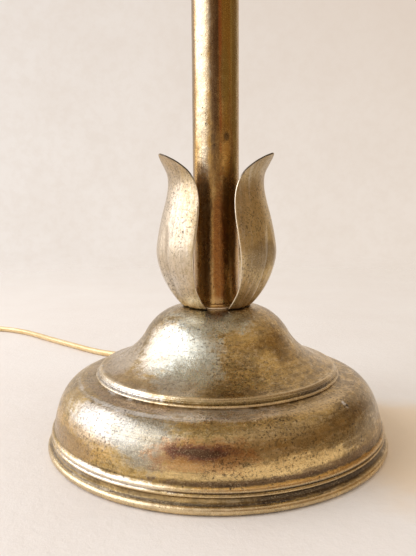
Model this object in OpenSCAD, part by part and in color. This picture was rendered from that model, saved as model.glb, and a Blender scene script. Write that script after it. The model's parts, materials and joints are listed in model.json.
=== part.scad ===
// Lotus leaf table lamp: a spun, stepped brass foot, a three-petal leaf crown round the bottom of
// a brass tube, and the lampholder, harp, bulb and shade that such a lamp carries.
// Millimetres, +Z up. The origin is on the lamp's axis at the surface that it stands on.

/* [Foot] */
// Diameter of the foot over its rolled rim
foot_d = 191; // [180:1:205]
// Height of the foot's domed top above the table
foot_h = 76; // [72:0.5:84]
// Thickness of the spun sheet
sheet = 1; // [0.8:0.1:1.4]
// Width of the ledge between the shoulder and the raised step
ledge = 11.2; // [8:0.1:14]
// Radius where the dome's hollow flare turns into its crown
dome_r = 40.6; // [37:0.1:44]
// Diameter of the cast-iron weight
weight_d = 150; // [130:1:152]
// Thickness of the felt that the lamp stands on
felt_t = 2; // [1.5:0.1:3]
// Thickness of the fibre plate that closes the foot
plate_t = 1.2; // [1:0.1:1.6]

/* [Leaf crown] */
// Number of petals
petals = 3; // [3:1:3]
// Height of the crown above the foot
leaf_h = 82.8; // [70:0.1:95]
// Greatest radius of the petals
leaf_r = 33; // [30:0.1:38]
// Radius of the crown's base, where the petals rise from the disc
leaf_base_r = 17; // [16:0.1:19]
// Thickness of the leaf brass
leaf_t = 0.8; // [0.6:0.1:1.2]
// Depth of the fold pressed into each petal's lower half
crease = 2.6; // [0:0.1:3.5]

/* [Stem] */
// Outer diameter of the brass tube
tube_d = 25.4; // [22:0.1:28]
// Length of the brass tube
tube_l = 252; // [200:1:320]
// Wall of the brass tube
tube_wall = 1; // [0.8:0.1:1.5]
// Outer diameter of the threaded pipe through the lamp
pipe_d = 10.3; // [9.6:0.1:10.6]
// Bore of the threaded pipe, which the lead runs in
pipe_bore = 7; // [6.5:0.1:7.4]

/* [Lampholder] */
// Outer diameter of the lampholder's shell
shell_d = 33.5; // [33:0.1:35]
// Height of the lampholder's shell
shell_h = 42; // [40:0.5:46]
// Inner diameter of the screw shell
thread_d = 26.9; // [26.8:0.1:27.3]
// Distance from the lampholder's axis to the end of its key
key_reach = 37; // [33:0.5:42]

/* [Bulb] */
// Greatest diameter of the bulb
bulb_d = 60; // [50:1:70]
// Length of the bulb with its cap
bulb_l = 110; // [100:1:120]
// Outer diameter of the bulb's cap
cap_d = 26.2; // [26:0.1:26.3]

/* [Harp] */
// Height of the harp above its saddle
harp_h = 203; // [190:1:230]
// Greatest width of the harp
harp_w = 114; // [100:1:124]
// Diameter of the harp wire
wire_d = 3.2; // [2.8:0.1:3.6]
// Distance between the harp's legs at the saddle
saddle_w = 62; // [58:1:66]
// Distance that a locking sleeve lifts
sleeve_lift = 12; // [8:0.5:14]

/* [Shade] */
// Diameter of the shade at its lower edge
shade_bottom_d = 305; // [280:1:330]
// Diameter of the shade at its upper edge
shade_top_d = 182; // [165:1:200]
// Height of the shade
shade_h = 220; // [200:1:235]
// Thickness of the parchment
parchment = 0.8; // [0.6:0.1:1.2]
// Distance from the shade's upper edge down to the spider's hub
drop = 13; // [8:0.5:20]
// Height of the trimming bands
trim_h = 9; // [6:0.5:14]

/* [Cord] */
// Diameter of the cord
cord_d = 5; // [4.8:0.1:5.2]
// Length of the strain relief outside the foot
relief_l = 24; // [20:1:26]

/* [Hidden] */
$fn = 96;

// Clearances: round parts that slide in each other, parts that lie on each other, pipe holes
slip = 0.3;
seat = 0.2;
pipe_hole_r = pipe_d/2 + 0.15;

// Foot: the rolled rim, the shoulder of its wall, the raised step and the dome
foot_lift = 0.3;
rim_r = foot_d/2;
rim_bead = 1.9;
shoulder_r = rim_r - 18.5;
shoulder_z = 36.9;
crest_r = shoulder_r - ledge;
crest_z = shoulder_z + 5.7;
turn_z = foot_h - 15;
top_r = 16;
inner_rim_r = rim_r - 3.3;

// Weight and the stack that clamps the lamp together
weight_top = shoulder_z - sheet - seat;
weight_base = 18;
weight_cave_r = 24;
weight_gap = 1;
weight_bevel = 2;
weight_cove = 4;
web_t = 6;
washer_t = 1.5;
washer_r = 14;
nut_h = 4.5;
nut_af = 14.3;
nut_z = weight_top - web_t - washer_t - nut_h;
pipe_z = nut_z - 2.5;
ring_t = 1.4;
tube_z = foot_h + leaf_t + ring_t;
tube_top = tube_z + tube_l;
cap_h = 11.8;
saddle_z = tube_top + cap_h;
cap_neck_r = 8.5;
cap_lip = 1.3;
strip_t = 2;
strip_w = 17;
strip_end_w = 7;
strip_flat = 9;
strip_taper = 7;
strip_bend = 6;
hub_z = saddle_z + strip_t;
pipe_top = hub_z + 8;

// Lampholder
shell_wall = 0.6;
shell_z = hub_z + 15.5;
shell_top = shell_z + shell_h;
body_z = hub_z + 13;
body_top = hub_z + 30;
key_z = hub_z + 22;
sleeve_r = shell_d/2 - shell_wall - 0.15;
body_r = sleeve_r - 1;
screw_wall = 0.5;
rotor_r = 5;
shaft_r = 1.9;
key_w = 15;
key_t = 3;
key_l = 12;

// Bulb
tip_z = body_top + 3;
cap_bottom = tip_z + 4;
cap_top = shell_top + 1.2;
glass_t = 1;

// Harp
harp_top = saddle_z + harp_h;
prong_z = saddle_z + 10;
prong_r = wire_d/2 + 0.2;
leg_z = prong_z + 6.5;
leg_top = leg_z + sleeve_lift + 8;
sleeve_h = 13;
boss_r = 7;
boss_h = 10.5;
stud_r = 3.1;
stud_h = 12;
hub_t = 3.2;
hub_r = 12;
arm_r = 1.3;
arm_root = 3;

// Shade
hub_seat = harp_top + slip;
shade_top = hub_seat + hub_t/2 + drop;
shade_z = shade_top - shade_h;
ring_wire = 1.6;
trim_t = 0.8;
arms = 3;

// Cord: where it leaves the foot, its route over the table, its coil and the plug
exit_z = 17.6;
wall_y = rim_r - 4.5;
relief_y = 92.2;
exit_y = relief_y + relief_l;
lay_z = 2.6;
route = [
    [0, exit_y, exit_z], [0, 122.2, exit_z], [0, 129, 16.7], [-1, 136, 14.3], [-4, 143, 10.8],
    [-9, 149, 7.3], [-17, 154, 4.4], [-28, 157.5, 2.9], [-40, 160, lay_z], [-54, 162.5, lay_z],
    [-68, 166, lay_z], [-83, 171, lay_z], [-98, 179, lay_z], [-112, 190, lay_z],
    [-126, 203, lay_z], [-141, 217, lay_z], [-157, 232, lay_z], [-174, 249, lay_z],
    [-191, 264, lay_z], [-208, 275, lay_z], [-223, 281.5, lay_z], [-236, 285, lay_z],
    [-249, 286.5, 3], [-261, 287, 3.2], [-272, 287, 3.2]
];
coil_start = 90;
coil_layer_turns = 3.5;
coil_r = 39.6;
coil_pitch = cord_d + 0.5;
coil_dip = 0.9;
coil_steps = 24;
coil_climb = 0.5;
coil_z = route[len(route) - 1][2];
coil_inner_r = coil_r - coil_pitch*coil_layer_turns;
coil_turns = 2*coil_layer_turns + coil_climb;
coil_x = route[len(route) - 1][0] - cord_d;
coil_y = route[len(route) - 1][1] - coil_r;
tie_t = 0.5;
tie_w = 4;
tail = [[-263.5, 206, 8.4], [-256.5, 201.5, 7.8], [-252, 194, 7.1], [-250, 185, 6.5], [-250, 176, 6.5]];
plug_w = 25;
plug_h = 13;
plug_l = 32;
blade_gap = 12.7;
blade_w = 6.35;
blade_t = 1.5;
blade_l = 17;

brass = [0.66, 0.56, 0.36];
leaf_brass = [0.72, 0.66, 0.50];
dark_iron = [0.25, 0.24, 0.23];
gold_cord = [0.80, 0.63, 0.36];
cream = [0.90, 0.84, 0.70];

// Curves

function bez(a, b, c, d, n) =
    [for (i = [0:n]) let (t = i/n, s = 1 - t) s*s*s*a + 3*s*s*t*b + 3*s*t*t*c + t*t*t*d];
function arc(x, y, r, from, to, n) =
    [for (i = [0:n]) let (a = from + (to - from)*i/n) [x + r*cos(a), y + r*sin(a)]];
function reversed(p) = [for (i = [len(p) - 1:-1:0]) p[i]];
function unit(v) = v/norm(v);

// A plane curve moved sideways to the left of its own direction
function inset(p, t) = [
    for (i = [0:len(p) - 1])
        let (d = unit(p[min(i + 1, len(p) - 1)] - p[max(i - 1, 0)])) p[i] + t*[-d[1], d[0]]
];

// A smooth value through evenly spaced stations, at u from 0 to len(p) - 1
function station(p, u) =
    let (
        n = len(p) - 1,
        i = min(floor(u), n - 1),
        t = u - i,
        b = p[i],
        c = p[i + 1],
        a = p[max(i - 1, 0)],
        d = p[min(i + 2, n)]
    )
    0.5*(2*b + (c - a)*t + (2*a - 5*b + 4*c - d)*t*t + (3*b - a - 3*c + d)*t*t*t);

// Round tube along a route, as one closed solid; level is a direction that the route never takes
function heading(p, i) = unit(p[min(i + 1, len(p) - 1)] - p[max(i - 1, 0)]);

module tube_along(p, r, sides, level) {
    n = len(p);
    rings = [
        for (i = [0:n - 1])
            let (side = unit(cross(heading(p, i), level)), up = cross(side, heading(p, i)))
                for (k = [0:sides - 1])
                    p[i] + r*(cos(360*k/sides)*side + sin(360*k/sides)*up)
    ];
    walls = [
        for (i = [0:n - 2], k = [0:sides - 1])
            let (a = i*sides + k, b = i*sides + (k + 1)%sides)
                each [[a, a + sides, b], [b, a + sides, b + sides]]
    ];
    ends = [
        [for (k = [0:sides - 1]) k],
        [for (k = [sides - 1:-1:0]) (n - 1)*sides + k]
    ];
    polyhedron(rings, concat(walls, ends), convexity = 8);
}

// Foot

rim_curve = arc(rim_r - rim_bead, foot_lift + rim_bead, rim_bead, -90, 80, 10);
cove_curve = bez(
    [rim_r - 2.1, 4.5], [rim_r - 2.9, 5], [rim_r - 3.1, 6.3], [rim_r - 2.8, 7.3], 6
);
// A narrow bead above the cove and a broader one over it, with a groove between the two
ridge_curve = [for (p = [
    [2.25, 7.85], [1.98, 8.2], [1.95, 8.6], [2.15, 9.05], [2.6, 9.45], [2.3, 9.8], [2.2, 10.3],
    [2.35, 11], [2.75, 11.6], [3.2, 12]
]) [rim_r - p[0], p[1]]];
wall_curve = bez(
    [rim_r - 3.7, 12.4], [rim_r - 4.9, 21], [rim_r - 7.9, shoulder_z - 3.4], [shoulder_r, shoulder_z], 16
);
ledge_curve = bez(
    [shoulder_r - 0.4, shoulder_z + 0.1], [shoulder_r - 0.27*ledge, shoulder_z + 0.6],
    [shoulder_r - 0.5*ledge, shoulder_z + 0.75], [crest_r + 3.1, shoulder_z + 1.35], 6
);
lip_curve = arc(crest_r + 1.9, crest_z - 3.45, 0.75, -50, 75, 5);
step_curve = concat(
    arc(crest_r + 0.95, crest_z - 1.95, 0.5, -50, 60, 3), arc(crest_r + 0.55, crest_z - 1.1, 0.45, -50, 60, 3)
);
crest_curve = arc(crest_r - 0.35, crest_z - 0.45, 0.8, 0, 90, 4);
flare_curve = bez(
    [crest_r - 1, crest_z + 0.5], [crest_r - 10.8, crest_z + 2.6], [dome_r + 4, turn_z - 7.5],
    [dome_r, turn_z], 12
);
dome_curve = bez(
    [dome_r, turn_z], [dome_r - 3.6, turn_z + 6.5], [dome_r - 11.4, foot_h - 0.1], [top_r, foot_h], 12
);

module foot_shell() {
    outer = concat(
        rim_curve, cove_curve, ridge_curve, wall_curve, ledge_curve, lip_curve, step_curve,
        crest_curve, flare_curve, dome_curve, [[pipe_hole_r, foot_h]]
    );
    inner = concat(
        [[pipe_hole_r, foot_h - sheet]],
        reversed(inset(dome_curve, sheet)), reversed(inset(flare_curve, sheet)),
        [[crest_r + 0.2, crest_z - 4.2]],
        reversed(inset(ledge_curve, sheet)), reversed(inset(wall_curve, sheet)),
        [[inner_rim_r - 1.6, 9], [inner_rim_r - 1, 5], [inner_rim_r, 3.4]]
    );
    color(brass)
    difference() {
        rotate_extrude() polygon(concat(outer, inner));
        translate([0, wall_y - 10, exit_z]) rotate([-90, 0, 0]) cylinder(r = 4, h = 20);
    }
}

// A casting whose outer edge stays clear of the foot's wall
module foot_weight() {
    r = weight_d/2;
    room = reversed(inset(wall_curve, sheet + weight_gap));
    color(dark_iron)
    rotate_extrude() intersection() {
        polygon([
            [weight_cave_r, weight_base], [r - weight_bevel, weight_base], [r, weight_base + weight_bevel],
            [r, weight_top], [pipe_hole_r, weight_top], [pipe_hole_r, weight_top - web_t],
            [weight_cave_r - weight_cove, weight_top - web_t],
            [weight_cave_r, weight_top - web_t - weight_cove]
        ]);
        polygon(concat([[0, 0], [0, foot_h], [shoulder_r - weight_gap, foot_h]], room, [[inner_rim_r, 0]]));
    }
}

module base_plate() {
    color([0.45, 0.36, 0.26])
    translate([0, 0, felt_t]) cylinder(r = inner_rim_r - 1.3, h = plate_t);
}

module felt_pad() {
    color([0.20, 0.26, 0.20])
    cylinder(r = inner_rim_r - 0.6, h = felt_t);
}

module threaded_pipe() {
    color([0.62, 0.58, 0.46])
    translate([0, 0, pipe_z]) difference() {
        cylinder(d = pipe_d, h = pipe_top - pipe_z);
        translate([0, 0, -1]) cylinder(d = pipe_bore, h = pipe_top - pipe_z + 2);
    }
}

module base_washer() {
    color("silver")
    translate([0, 0, nut_z + nut_h]) difference() {
        cylinder(r = washer_r, h = washer_t);
        translate([0, 0, -1]) cylinder(r = pipe_hole_r, h = washer_t + 2);
    }
}

module base_nut() {
    color("silver")
    translate([0, 0, nut_z]) difference() {
        cylinder(d = nut_af/cos(30), h = nut_h, $fn = 6);
        translate([0, 0, -1]) cylinder(r = pipe_hole_r, h = nut_h + 2);
    }
}

// Leaf crown: stations up a petal's middle line, as shares of the crown's reach and height, with
// half the angle that the petal spans there
leaf_stations = [
    [0.10, 0.00, 41], [0.35, 0.05, 38.5], [0.63, 0.13, 36], [0.86, 0.23, 36.5], [1.00, 0.35, 38],
    [0.94, 0.47, 39.5], [0.80, 0.60, 41], [0.65, 0.71, 40], [0.57, 0.80, 36], [0.60, 0.88, 28.5],
    [0.76, 0.94, 18], [0.95, 0.98, 8], [1.09, 1.00, 0.9]
];
leaf_rows = 22;
leaf_root = 3;
leaf_overhang = 1;
leaf_columns = [-1, -0.75, -0.5, -0.28, -0.12, 0, 0.12, 0.28, 0.5, 0.75, 1];
// The fold is deepest a fifth of the way up, and runs out at the widest part
fold_peak = 2;
fold_end = 5.4;
fold_angle = 13;

function fold_at(u) = u < fold_peak ? crease*(0.45 + 0.55*u/fold_peak)
    : crease*pow(max(0, 1 - (u - fold_peak)/(fold_end - fold_peak)), 1.3);
function leaf_point(u, side, inward) =
    let (
        s = station(leaf_stations, u),
        next = station(leaf_stations, min(u + 0.05, len(leaf_stations) - 1)),
        last = station(leaf_stations, max(u - 0.05, 0)),
        rise = unit([next[0] - last[0], (next[1] - last[1])*leaf_h/(leaf_r - leaf_base_r)]),
        a = side*s[2],
        fold = fold_at(u)*pow(max(0, 1 - abs(a)/fold_angle), 1.4),
        r = leaf_base_r + (leaf_r - leaf_base_r)*s[0] - fold - inward*rise[1],
        z = foot_h + leaf_t/2 + (leaf_h - leaf_t/2)*s[1] + inward*rise[0]
    )
    [r*cos(a), r*sin(a), z];

module petal() {
    top = len(leaf_stations) - 1;
    w = len(leaf_columns);
    // The root row lies inside the disc, and the petal leaves it through its edge
    root = [for (f = [-1, 1], c = leaf_columns)
        let (r = leaf_base_r - leaf_root, a = c*leaf_stations[0][2])
            [r*cos(a), r*sin(a), foot_h + leaf_t/2 + f*leaf_t*0.3]];
    body = [for (i = [0:leaf_rows], f = [-1, 1], c = leaf_columns)
        leaf_point(top*i/leaf_rows, c, f*leaf_t/2)];
    p = concat(root, body);
    rows = leaf_rows + 2;
    skin = [for (i = [0:rows - 2], k = [0:w - 2])
        let (o = 2*w*i + k, n = o + 2*w) each [
            [o, n, o + 1], [o + 1, n, n + 1],
            [o + w, o + w + 1, n + w], [o + w + 1, n + w + 1, n + w]
        ]];
    edges = [for (i = [0:rows - 2])
        let (o = 2*w*i, n = o + 2*w, e = w - 1) each [
            [o, o + w, n], [n, o + w, n + w],
            [o + e, n + e, o + w + e], [n + e, n + w + e, o + w + e]
        ]];
    caps = [for (k = [0:w - 2])
        let (o = k, n = 2*w*(rows - 1) + k) each [
            [o, o + 1, o + w], [o + 1, o + w + 1, o + w],
            [n, n + w, n + 1], [n + 1, n + w, n + w + 1]
        ]];
    polyhedron(p, concat(skin, edges, caps), convexity = 6);
}

module leaf_crown() {
    color(leaf_brass)
    union() {
        difference() {
            translate([0, 0, foot_h]) cylinder(r = leaf_base_r - leaf_overhang, h = leaf_t);
            translate([0, 0, foot_h - 1]) cylinder(r = pipe_hole_r, h = leaf_t + 2);
        }
        for (i = [0:petals - 1]) rotate([0, 0, 90 + 360*i/petals]) petal();
    }
}

// Stem

tube_bore_r = tube_d/2 - tube_wall;
spigot_r = tube_bore_r - seat;

module seat_ring() {
    z = foot_h + leaf_t;
    color(brass)
    rotate_extrude() polygon([
        [pipe_hole_r, z], [tube_d/2 + 0.7, z], [tube_d/2 + 0.7, tube_z], [spigot_r, tube_z],
        [spigot_r, tube_z + 4], [pipe_hole_r, tube_z + 4]
    ]);
}

module stem_tube() {
    color(brass)
    translate([0, 0, tube_z]) difference() {
        cylinder(d = tube_d, h = tube_l);
        translate([0, 0, -1]) cylinder(r = tube_bore_r, h = tube_l + 2);
    }
}

module tube_cap() {
    r = tube_d/2 + cap_lip;
    color(brass)
    rotate_extrude() polygon(concat(
        [[pipe_hole_r, tube_top - 6], [spigot_r, tube_top - 6], [spigot_r, tube_top], [r - 0.7, tube_top]],
        arc(r - 1, tube_top + 1, 1, -60, 90, 6),
        bez(
            [r - 1.6, tube_top + 2.4], [r - 4, tube_top + 3], [cap_neck_r + 0.5, tube_top + 5],
            [cap_neck_r, saddle_z - 2], 8
        ),
        [[cap_neck_r + 1, saddle_z - 1.4], [cap_neck_r + 1, saddle_z], [pipe_hole_r, saddle_z]]
    ));
}

module harp_saddle() {
    outer_x = saddle_w/2 + strip_t/2;
    inner_x = saddle_w/2 - strip_t/2;
    bend = strip_bend;
    half = strip_w/2;
    end = strip_end_w/2;
    flat = strip_flat;
    slim = strip_flat + strip_taper;
    strip = concat(
        [[outer_x, prong_z]], arc(outer_x - bend, saddle_z + bend, bend, 0, -90, 6),
        arc(bend - outer_x, saddle_z + bend, bend, -90, -180, 6), [[-outer_x, prong_z], [-inner_x, prong_z]],
        arc(bend - outer_x, saddle_z + bend, bend - strip_t, 180, 270, 6),
        arc(outer_x - bend, saddle_z + bend, bend - strip_t, 270, 360, 6), [[inner_x, prong_z]]
    );
    color(brass)
    union() {
        difference() {
            intersection() {
                translate([0, strip_w, 0]) rotate([90, 0, 0]) linear_extrude(2*strip_w) polygon(strip);
                translate([0, 0, saddle_z - strip_t]) linear_extrude(prong_z - saddle_z + 2*strip_t) polygon([
                    [-saddle_w, -end], [-slim, -end], [-flat, -half], [flat, -half], [slim, -end],
                    [saddle_w, -end], [saddle_w, end], [slim, end], [flat, half], [-flat, half],
                    [-slim, end], [-saddle_w, end]
                ]);
            }
            translate([0, 0, saddle_z - 1]) cylinder(r = pipe_hole_r, h = strip_t + 2);
        }
        for (s = [-1, 1])
            translate([s*saddle_w/2, 0, prong_z - 1]) cylinder(r = prong_r, h = leg_z - prong_z + 0.8);
    }
}

// Lampholder

module socket_cap() {
    lip_r = shell_d/2 + seat;
    w = 0.8;
    color(brass)
    difference() {
        rotate_extrude() polygon(concat(
            [[pipe_hole_r, hub_z], [8.5, hub_z], [8.5, hub_z + 5]],
            bez([8.7, hub_z + 6], [13, hub_z + 6.5], [lip_r + w, hub_z + 9], [lip_r + w, hub_z + 14.5], 10),
            arc(lip_r + w, hub_z + 19, 0.5, -90, 90, 4),
            [[lip_r, hub_z + 19.5], [lip_r, hub_z + 14.5]],
            bez([lip_r, hub_z + 14], [lip_r, hub_z + 9.8], [13, hub_z + 7.6], [8.6, hub_z + 7], 10),
            [[pipe_hole_r, hub_z + 7]]
        ));
        translate([4, 0, hub_z + 3]) rotate([0, 90, 0]) cylinder(r = 1.6, h = 8);
    }
}

module cap_screw() {
    color("silver")
    translate([pipe_d/2 + seat, 0, hub_z + 3]) rotate([0, 90, 0]) difference() {
        union() {
            cylinder(r = 1.5, h = 4);
            translate([0, 0, 3.6]) cylinder(r = 2.6, h = 1.8);
        }
        translate([-3, -0.3, 4.6]) cube([6, 0.6, 2]);
    }
}

module key_hole(r) {
    translate([0, 0, key_z]) rotate([90, 0, 0]) cylinder(r = r, h = shell_d);
}

module socket_shell() {
    r = shell_d/2;
    color(brass)
    difference() {
        rotate_extrude() polygon(concat(
            [[r - shell_wall, shell_z], [r, shell_z], [r, hub_z + 20.5]],
            arc(r, hub_z + 21.3, 0.5, -90, 90, 4), arc(r, shell_top - 0.7, 0.7, -90, 90, 4),
            [[r - shell_wall, shell_top]]
        ));
        key_hole(4.6);
    }
}

module insulating_sleeve() {
    color([0.35, 0.28, 0.20])
    difference() {
        translate([0, 0, shell_z + 1]) cylinder(r = sleeve_r, h = shell_h - 2);
        translate([0, 0, shell_z]) cylinder(r = sleeve_r - 0.7, h = shell_h + 2);
        key_hole(4.6);
    }
}

module socket_body() {
    color([0.12, 0.10, 0.09])
    difference() {
        translate([0, 0, body_z]) cylinder(r = body_r, h = body_top - body_z);
        translate([0, 5.5, key_z]) rotate([90, 0, 0]) cylinder(r = rotor_r + slip, h = body_r + 10);
        for (s = [-1, 1])
            translate([s*(body_r + 1) - 4.5, -5, body_z - 1]) cube([9, 10, 7]);
    }
}

module screw_shell() {
    r = thread_d/2;
    h = shell_top - body_top - 3;
    color(brass)
    translate([0, 0, body_top]) rotate_extrude() polygon([
        [6, 0], [r + screw_wall, 0], [r + screw_wall, h], [r, h], [r, screw_wall], [6, screw_wall]
    ]);
}

module centre_contact() {
    color([0.75, 0.60, 0.35])
    translate([0, 0, body_top]) {
        cylinder(r = 4.5, h = 0.8);
        translate([0, 0, 0.8]) cylinder(r1 = 3.5, r2 = 2.5, h = 1.9);
    }
}

module terminal_screws() {
    x = body_r - 3.5;
    color("silver")
    for (s = [-1, 1])
        translate([s*x, 0, body_z + 2.8]) rotate([0, s*90, 0]) difference() {
            cylinder(r = 2.7, h = 1.8);
            translate([-3, -0.3, 1]) cube([6, 0.6, 1]);
        }
}

// The two wires from the lead's end to the terminals
module lead_wires() {
    color([0.70, 0.62, 0.45])
    for (s = [-1, 1])
        tube_along(
            [[s*1.2, 0, pipe_top + 1.2], [s*1.6, 0, pipe_top + 2.2], [s*4, 0, pipe_top + 3],
             [s*7.5, 0, pipe_top + 3.2], [s*(body_r - 4.6), 0, pipe_top + 3.9],
             [s*(body_r - 2.4), 0, pipe_top + 4.2]],
            0.8, 8, [0, 1, 0]
        );
}

// Key and the rotor that it turns in the lampholder
module key_shaft() {
    color([0.75, 0.60, 0.35])
    translate([0, 0, key_z]) rotate([90, 0, 0]) {
        translate([0, 0, -5]) cylinder(r = rotor_r, h = 15);
        translate([0, 0, 9]) cylinder(r = shaft_r, h = key_reach - key_l - 9 + 4);
    }
}

module switch_key() {
    root = key_reach - key_l;
    color(brass)
    difference() {
        translate([0, 0, key_z]) rotate([90, 0, 0]) union() {
            translate([0, 0, root - 1]) cylinder(r = 3.2, h = 6);
            intersection() {
                translate([-key_w/2, -key_t/2, root + 2]) cube([key_w, key_t, key_l - 2]);
                translate([0, 10, root + 2]) rotate([90, 0, 0]) scale([key_w/(key_l - 2), 1, 1])
                    translate([0, (key_l - 2)/2, 0]) cylinder(d = key_l - 2, h = 20);
            }
        }
        translate([0, -root + 2, key_z]) rotate([90, 0, 0]) cylinder(r = shaft_r + 0.02, h = 6.1);
    }
}

// Bulb

module bulb_glass() {
    r = bulb_d/2;
    top = tip_z + bulb_l;
    neck = cap_d/2 - 0.2;
    side = bez([neck, cap_top], [neck + 1.5, cap_top + 17], [r, top - r - 26], [r, top - r], 14);
    crown = arc(0, top - r, r, 7.5, 90, 11);
    color([0.96, 0.95, 0.90])
    rotate_extrude() polygon(concat(
        side, crown, [[0, top - glass_t]], reversed(arc(0, top - r, r - glass_t, 7.5, 82.5, 10)),
        reversed(inset(side, glass_t))
    ));
}

module bulb_cap() {
    r = cap_d/2;
    color([0.80, 0.76, 0.66])
    rotate_extrude() polygon([
        [r - 3, cap_bottom - 0.6], [r - 1.6, cap_bottom - 0.6], [r, cap_bottom + 1.4], [r, cap_top],
        [r - 0.6, cap_top], [r - 0.6, cap_bottom + 1.6], [r - 1.9, cap_bottom], [r - 3, cap_bottom]
    ]);
}

module bulb_insulator() {
    color([0.08, 0.07, 0.08])
    rotate_extrude() polygon([
        [0, tip_z + 1.6], [4.4, tip_z + 1.6], [cap_d/2 - 3, cap_bottom - 0.6], [cap_d/2 - 3, cap_bottom],
        [0, cap_bottom]
    ]);
}

module bulb_contact() {
    color("silver")
    rotate_extrude() polygon(concat(
        [[0, tip_z]], bez([1, tip_z], [2.6, tip_z + 0.1], [3.6, tip_z + 0.8], [4, tip_z + 1.6], 5),
        [[0, tip_z + 1.6]]
    ));
}

// Harp

function harp_side(s) = let (
        x = saddle_w/2, belly = harp_w/2 - wire_d/2, belly_z = saddle_z + 0.46*harp_h,
        top_z = harp_top - boss_h/2
    )
    [for (p = concat(
        [[x, leg_z], [x, (leg_z + leg_top)/2]],
        bez([x, leg_top], [x, leg_top + 20], [belly, belly_z - 34], [belly, belly_z], 9),
        [for (q = bez([belly, belly_z], [belly, belly_z + 50], [belly - 10, top_z], [boss_r + 3, top_z], 13))
            if (q[1] > belly_z) q],
        [[boss_r + 0.2, top_z]]
    )) [s*p[0], 0, p[1]]];

module harp() {
    color(brass)
    for (s = [-1, 1]) tube_along(harp_side(s), wire_d/2, 10, [0, 1, 0]);
}

module harp_stud() {
    color(brass)
    rotate_extrude() polygon([
        [0, harp_top - boss_h], [boss_r - 1, harp_top - boss_h], [boss_r, harp_top - boss_h + 1],
        [boss_r, harp_top - 1], [boss_r - 1, harp_top], [stud_r, harp_top],
        [stud_r, harp_top + stud_h - 0.6], [stud_r - 0.6, harp_top + stud_h], [0, harp_top + stud_h]
    ]);
}

module locking_sleeve(s) {
    r = prong_r + slip;
    z = prong_z + slip;
    color(brass)
    translate([s*saddle_w/2, 0, 0]) rotate_extrude() polygon([
        [r, z], [r + 1.4, z], [r + 1.4, z + 1.5], [r + 1, z + 1.9], [r + 1, z + sleeve_h - 1.9],
        [r + 1.4, z + sleeve_h - 1.5], [r + 1.4, z + sleeve_h], [r, z + sleeve_h]
    ]);
}

module sleeve_left() locking_sleeve(-1);
module sleeve_right() locking_sleeve(1);

// Shade

// Outer radius of the parchment at a height
function shade_r(z) = shade_bottom_d/2 + (shade_top_d - shade_bottom_d)/2*(z - shade_z)/shade_h;
top_ring_z = shade_top - ring_wire - 0.4;
bottom_ring_z = shade_z + ring_wire + 0.4;
function ring_r(z) = shade_r(z) - parchment - ring_wire - 0.35;

module shade_spider() {
    root_z = hub_seat + arm_r + 0.15;
    reach = ring_r(top_ring_z) - ring_wire - seat;
    rise = top_ring_z - root_z;
    start = hub_r - arm_root;
    slope = atan2(rise, reach - start);
    color(brass)
    difference() {
        union() {
            translate([0, 0, hub_seat]) cylinder(r = hub_r, h = hub_t);
            for (i = [0:arms - 1])
                rotate([0, 0, 90 + 360*i/arms]) translate([start, 0, root_z]) rotate([0, 90 - slope, 0])
                    cylinder(r = arm_r, h = norm([reach - start, rise]) - arm_r*tan(abs(slope)));
        }
        translate([0, 0, hub_seat - 2]) cylinder(r = stud_r + 0.4, h = hub_t + 6);
    }
}

module wire_ring(z) {
    rotate_extrude() translate([ring_r(z), z]) circle(r = ring_wire, $fn = 24);
}

module shade_top_ring() {
    color("silver") wire_ring(top_ring_z);
}

module shade_bottom_ring() {
    color("silver") wire_ring(bottom_ring_z);
}

module cone_band(z0, z1, out, t) {
    rotate_extrude() polygon([
        [shade_r(z0) + out - t, z0], [shade_r(z0) + out, z0], [shade_r(z1) + out, z1],
        [shade_r(z1) + out - t, z1]
    ]);
}

module shade_cover() {
    color(cream) cone_band(shade_z, shade_top, 0, parchment);
}

module shade_trim_top() {
    color([0.62, 0.50, 0.30]) cone_band(shade_top - trim_h, shade_top, trim_t + 0.15, trim_t);
}

module shade_trim_bottom() {
    color([0.62, 0.50, 0.30]) cone_band(shade_z, shade_z + trim_h, trim_t + 0.15, trim_t);
}

module finial() {
    z = hub_seat + hub_t + slip;
    bore_r = stud_r + slip;
    bore_top = harp_top + stud_h + 1;
    ball_z = z + 16.5;
    color(brass)
    rotate_extrude() polygon(concat(
        [[bore_r, z], [7, z], [7.4, z + 0.6], [7.4, z + 2.2], [6.4, z + 3]],
        bez([6, z + 3.4], [4.8, z + 5], [4.8, z + 6.6], [5.4, z + 8], 5),
        arc(5.4, z + 9, 1, -60, 60, 4),
        arc(0, ball_z, 8.5, -44, 66, 14),
        bez([3, ball_z + 8.6], [2.2, ball_z + 9.6], [3.4, ball_z + 10.6], [2.6, ball_z + 12], 6),
        [[1.4, ball_z + 13.2], [0, ball_z + 13.6], [0, bore_top], [bore_r, bore_top]]
    ));
}

// Cord

lead_route = [
    [0, exit_y, exit_z], [0, 100, exit_z], [0, 84, exit_z], [0, 76.5, 14.8], [0, 69, 11.8], [0, 61, 8.8],
    [0, 52, 7], [0, 40, 6.4], [0, 28, 6.4], [0, 18, 6.8], [0, 10, 9], [0, 4, 13.6], [0, 0.6, 19],
    [0, 0, 25], [0, 0, 34], [0, 0, 100], [0, 0, 200], [0, 0, 300], [0, 0, pipe_top + 1]
];

module inner_lead() {
    color(gold_cord) tube_along(lead_route, cord_d/2, 12, [1, 0, 0]);
}

module strain_relief() {
    bore = cord_d/2 + 0.1;
    color([0.62, 0.48, 0.26])
    translate([0, relief_y, exit_z]) rotate([-90, 0, 0]) rotate_extrude() polygon([
        [bore, -6], [3.85, -6], [3.85, 0], [4.8, 0], [4.8, 1.2], [4.4, 1.6], [3.4, relief_l - 0.4],
        [3, relief_l], [bore, relief_l]
    ]);
}

module cord_lead() {
    color(gold_cord) tube_along(route, cord_d/2, 10, [0, 0, 1]);
}

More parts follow.
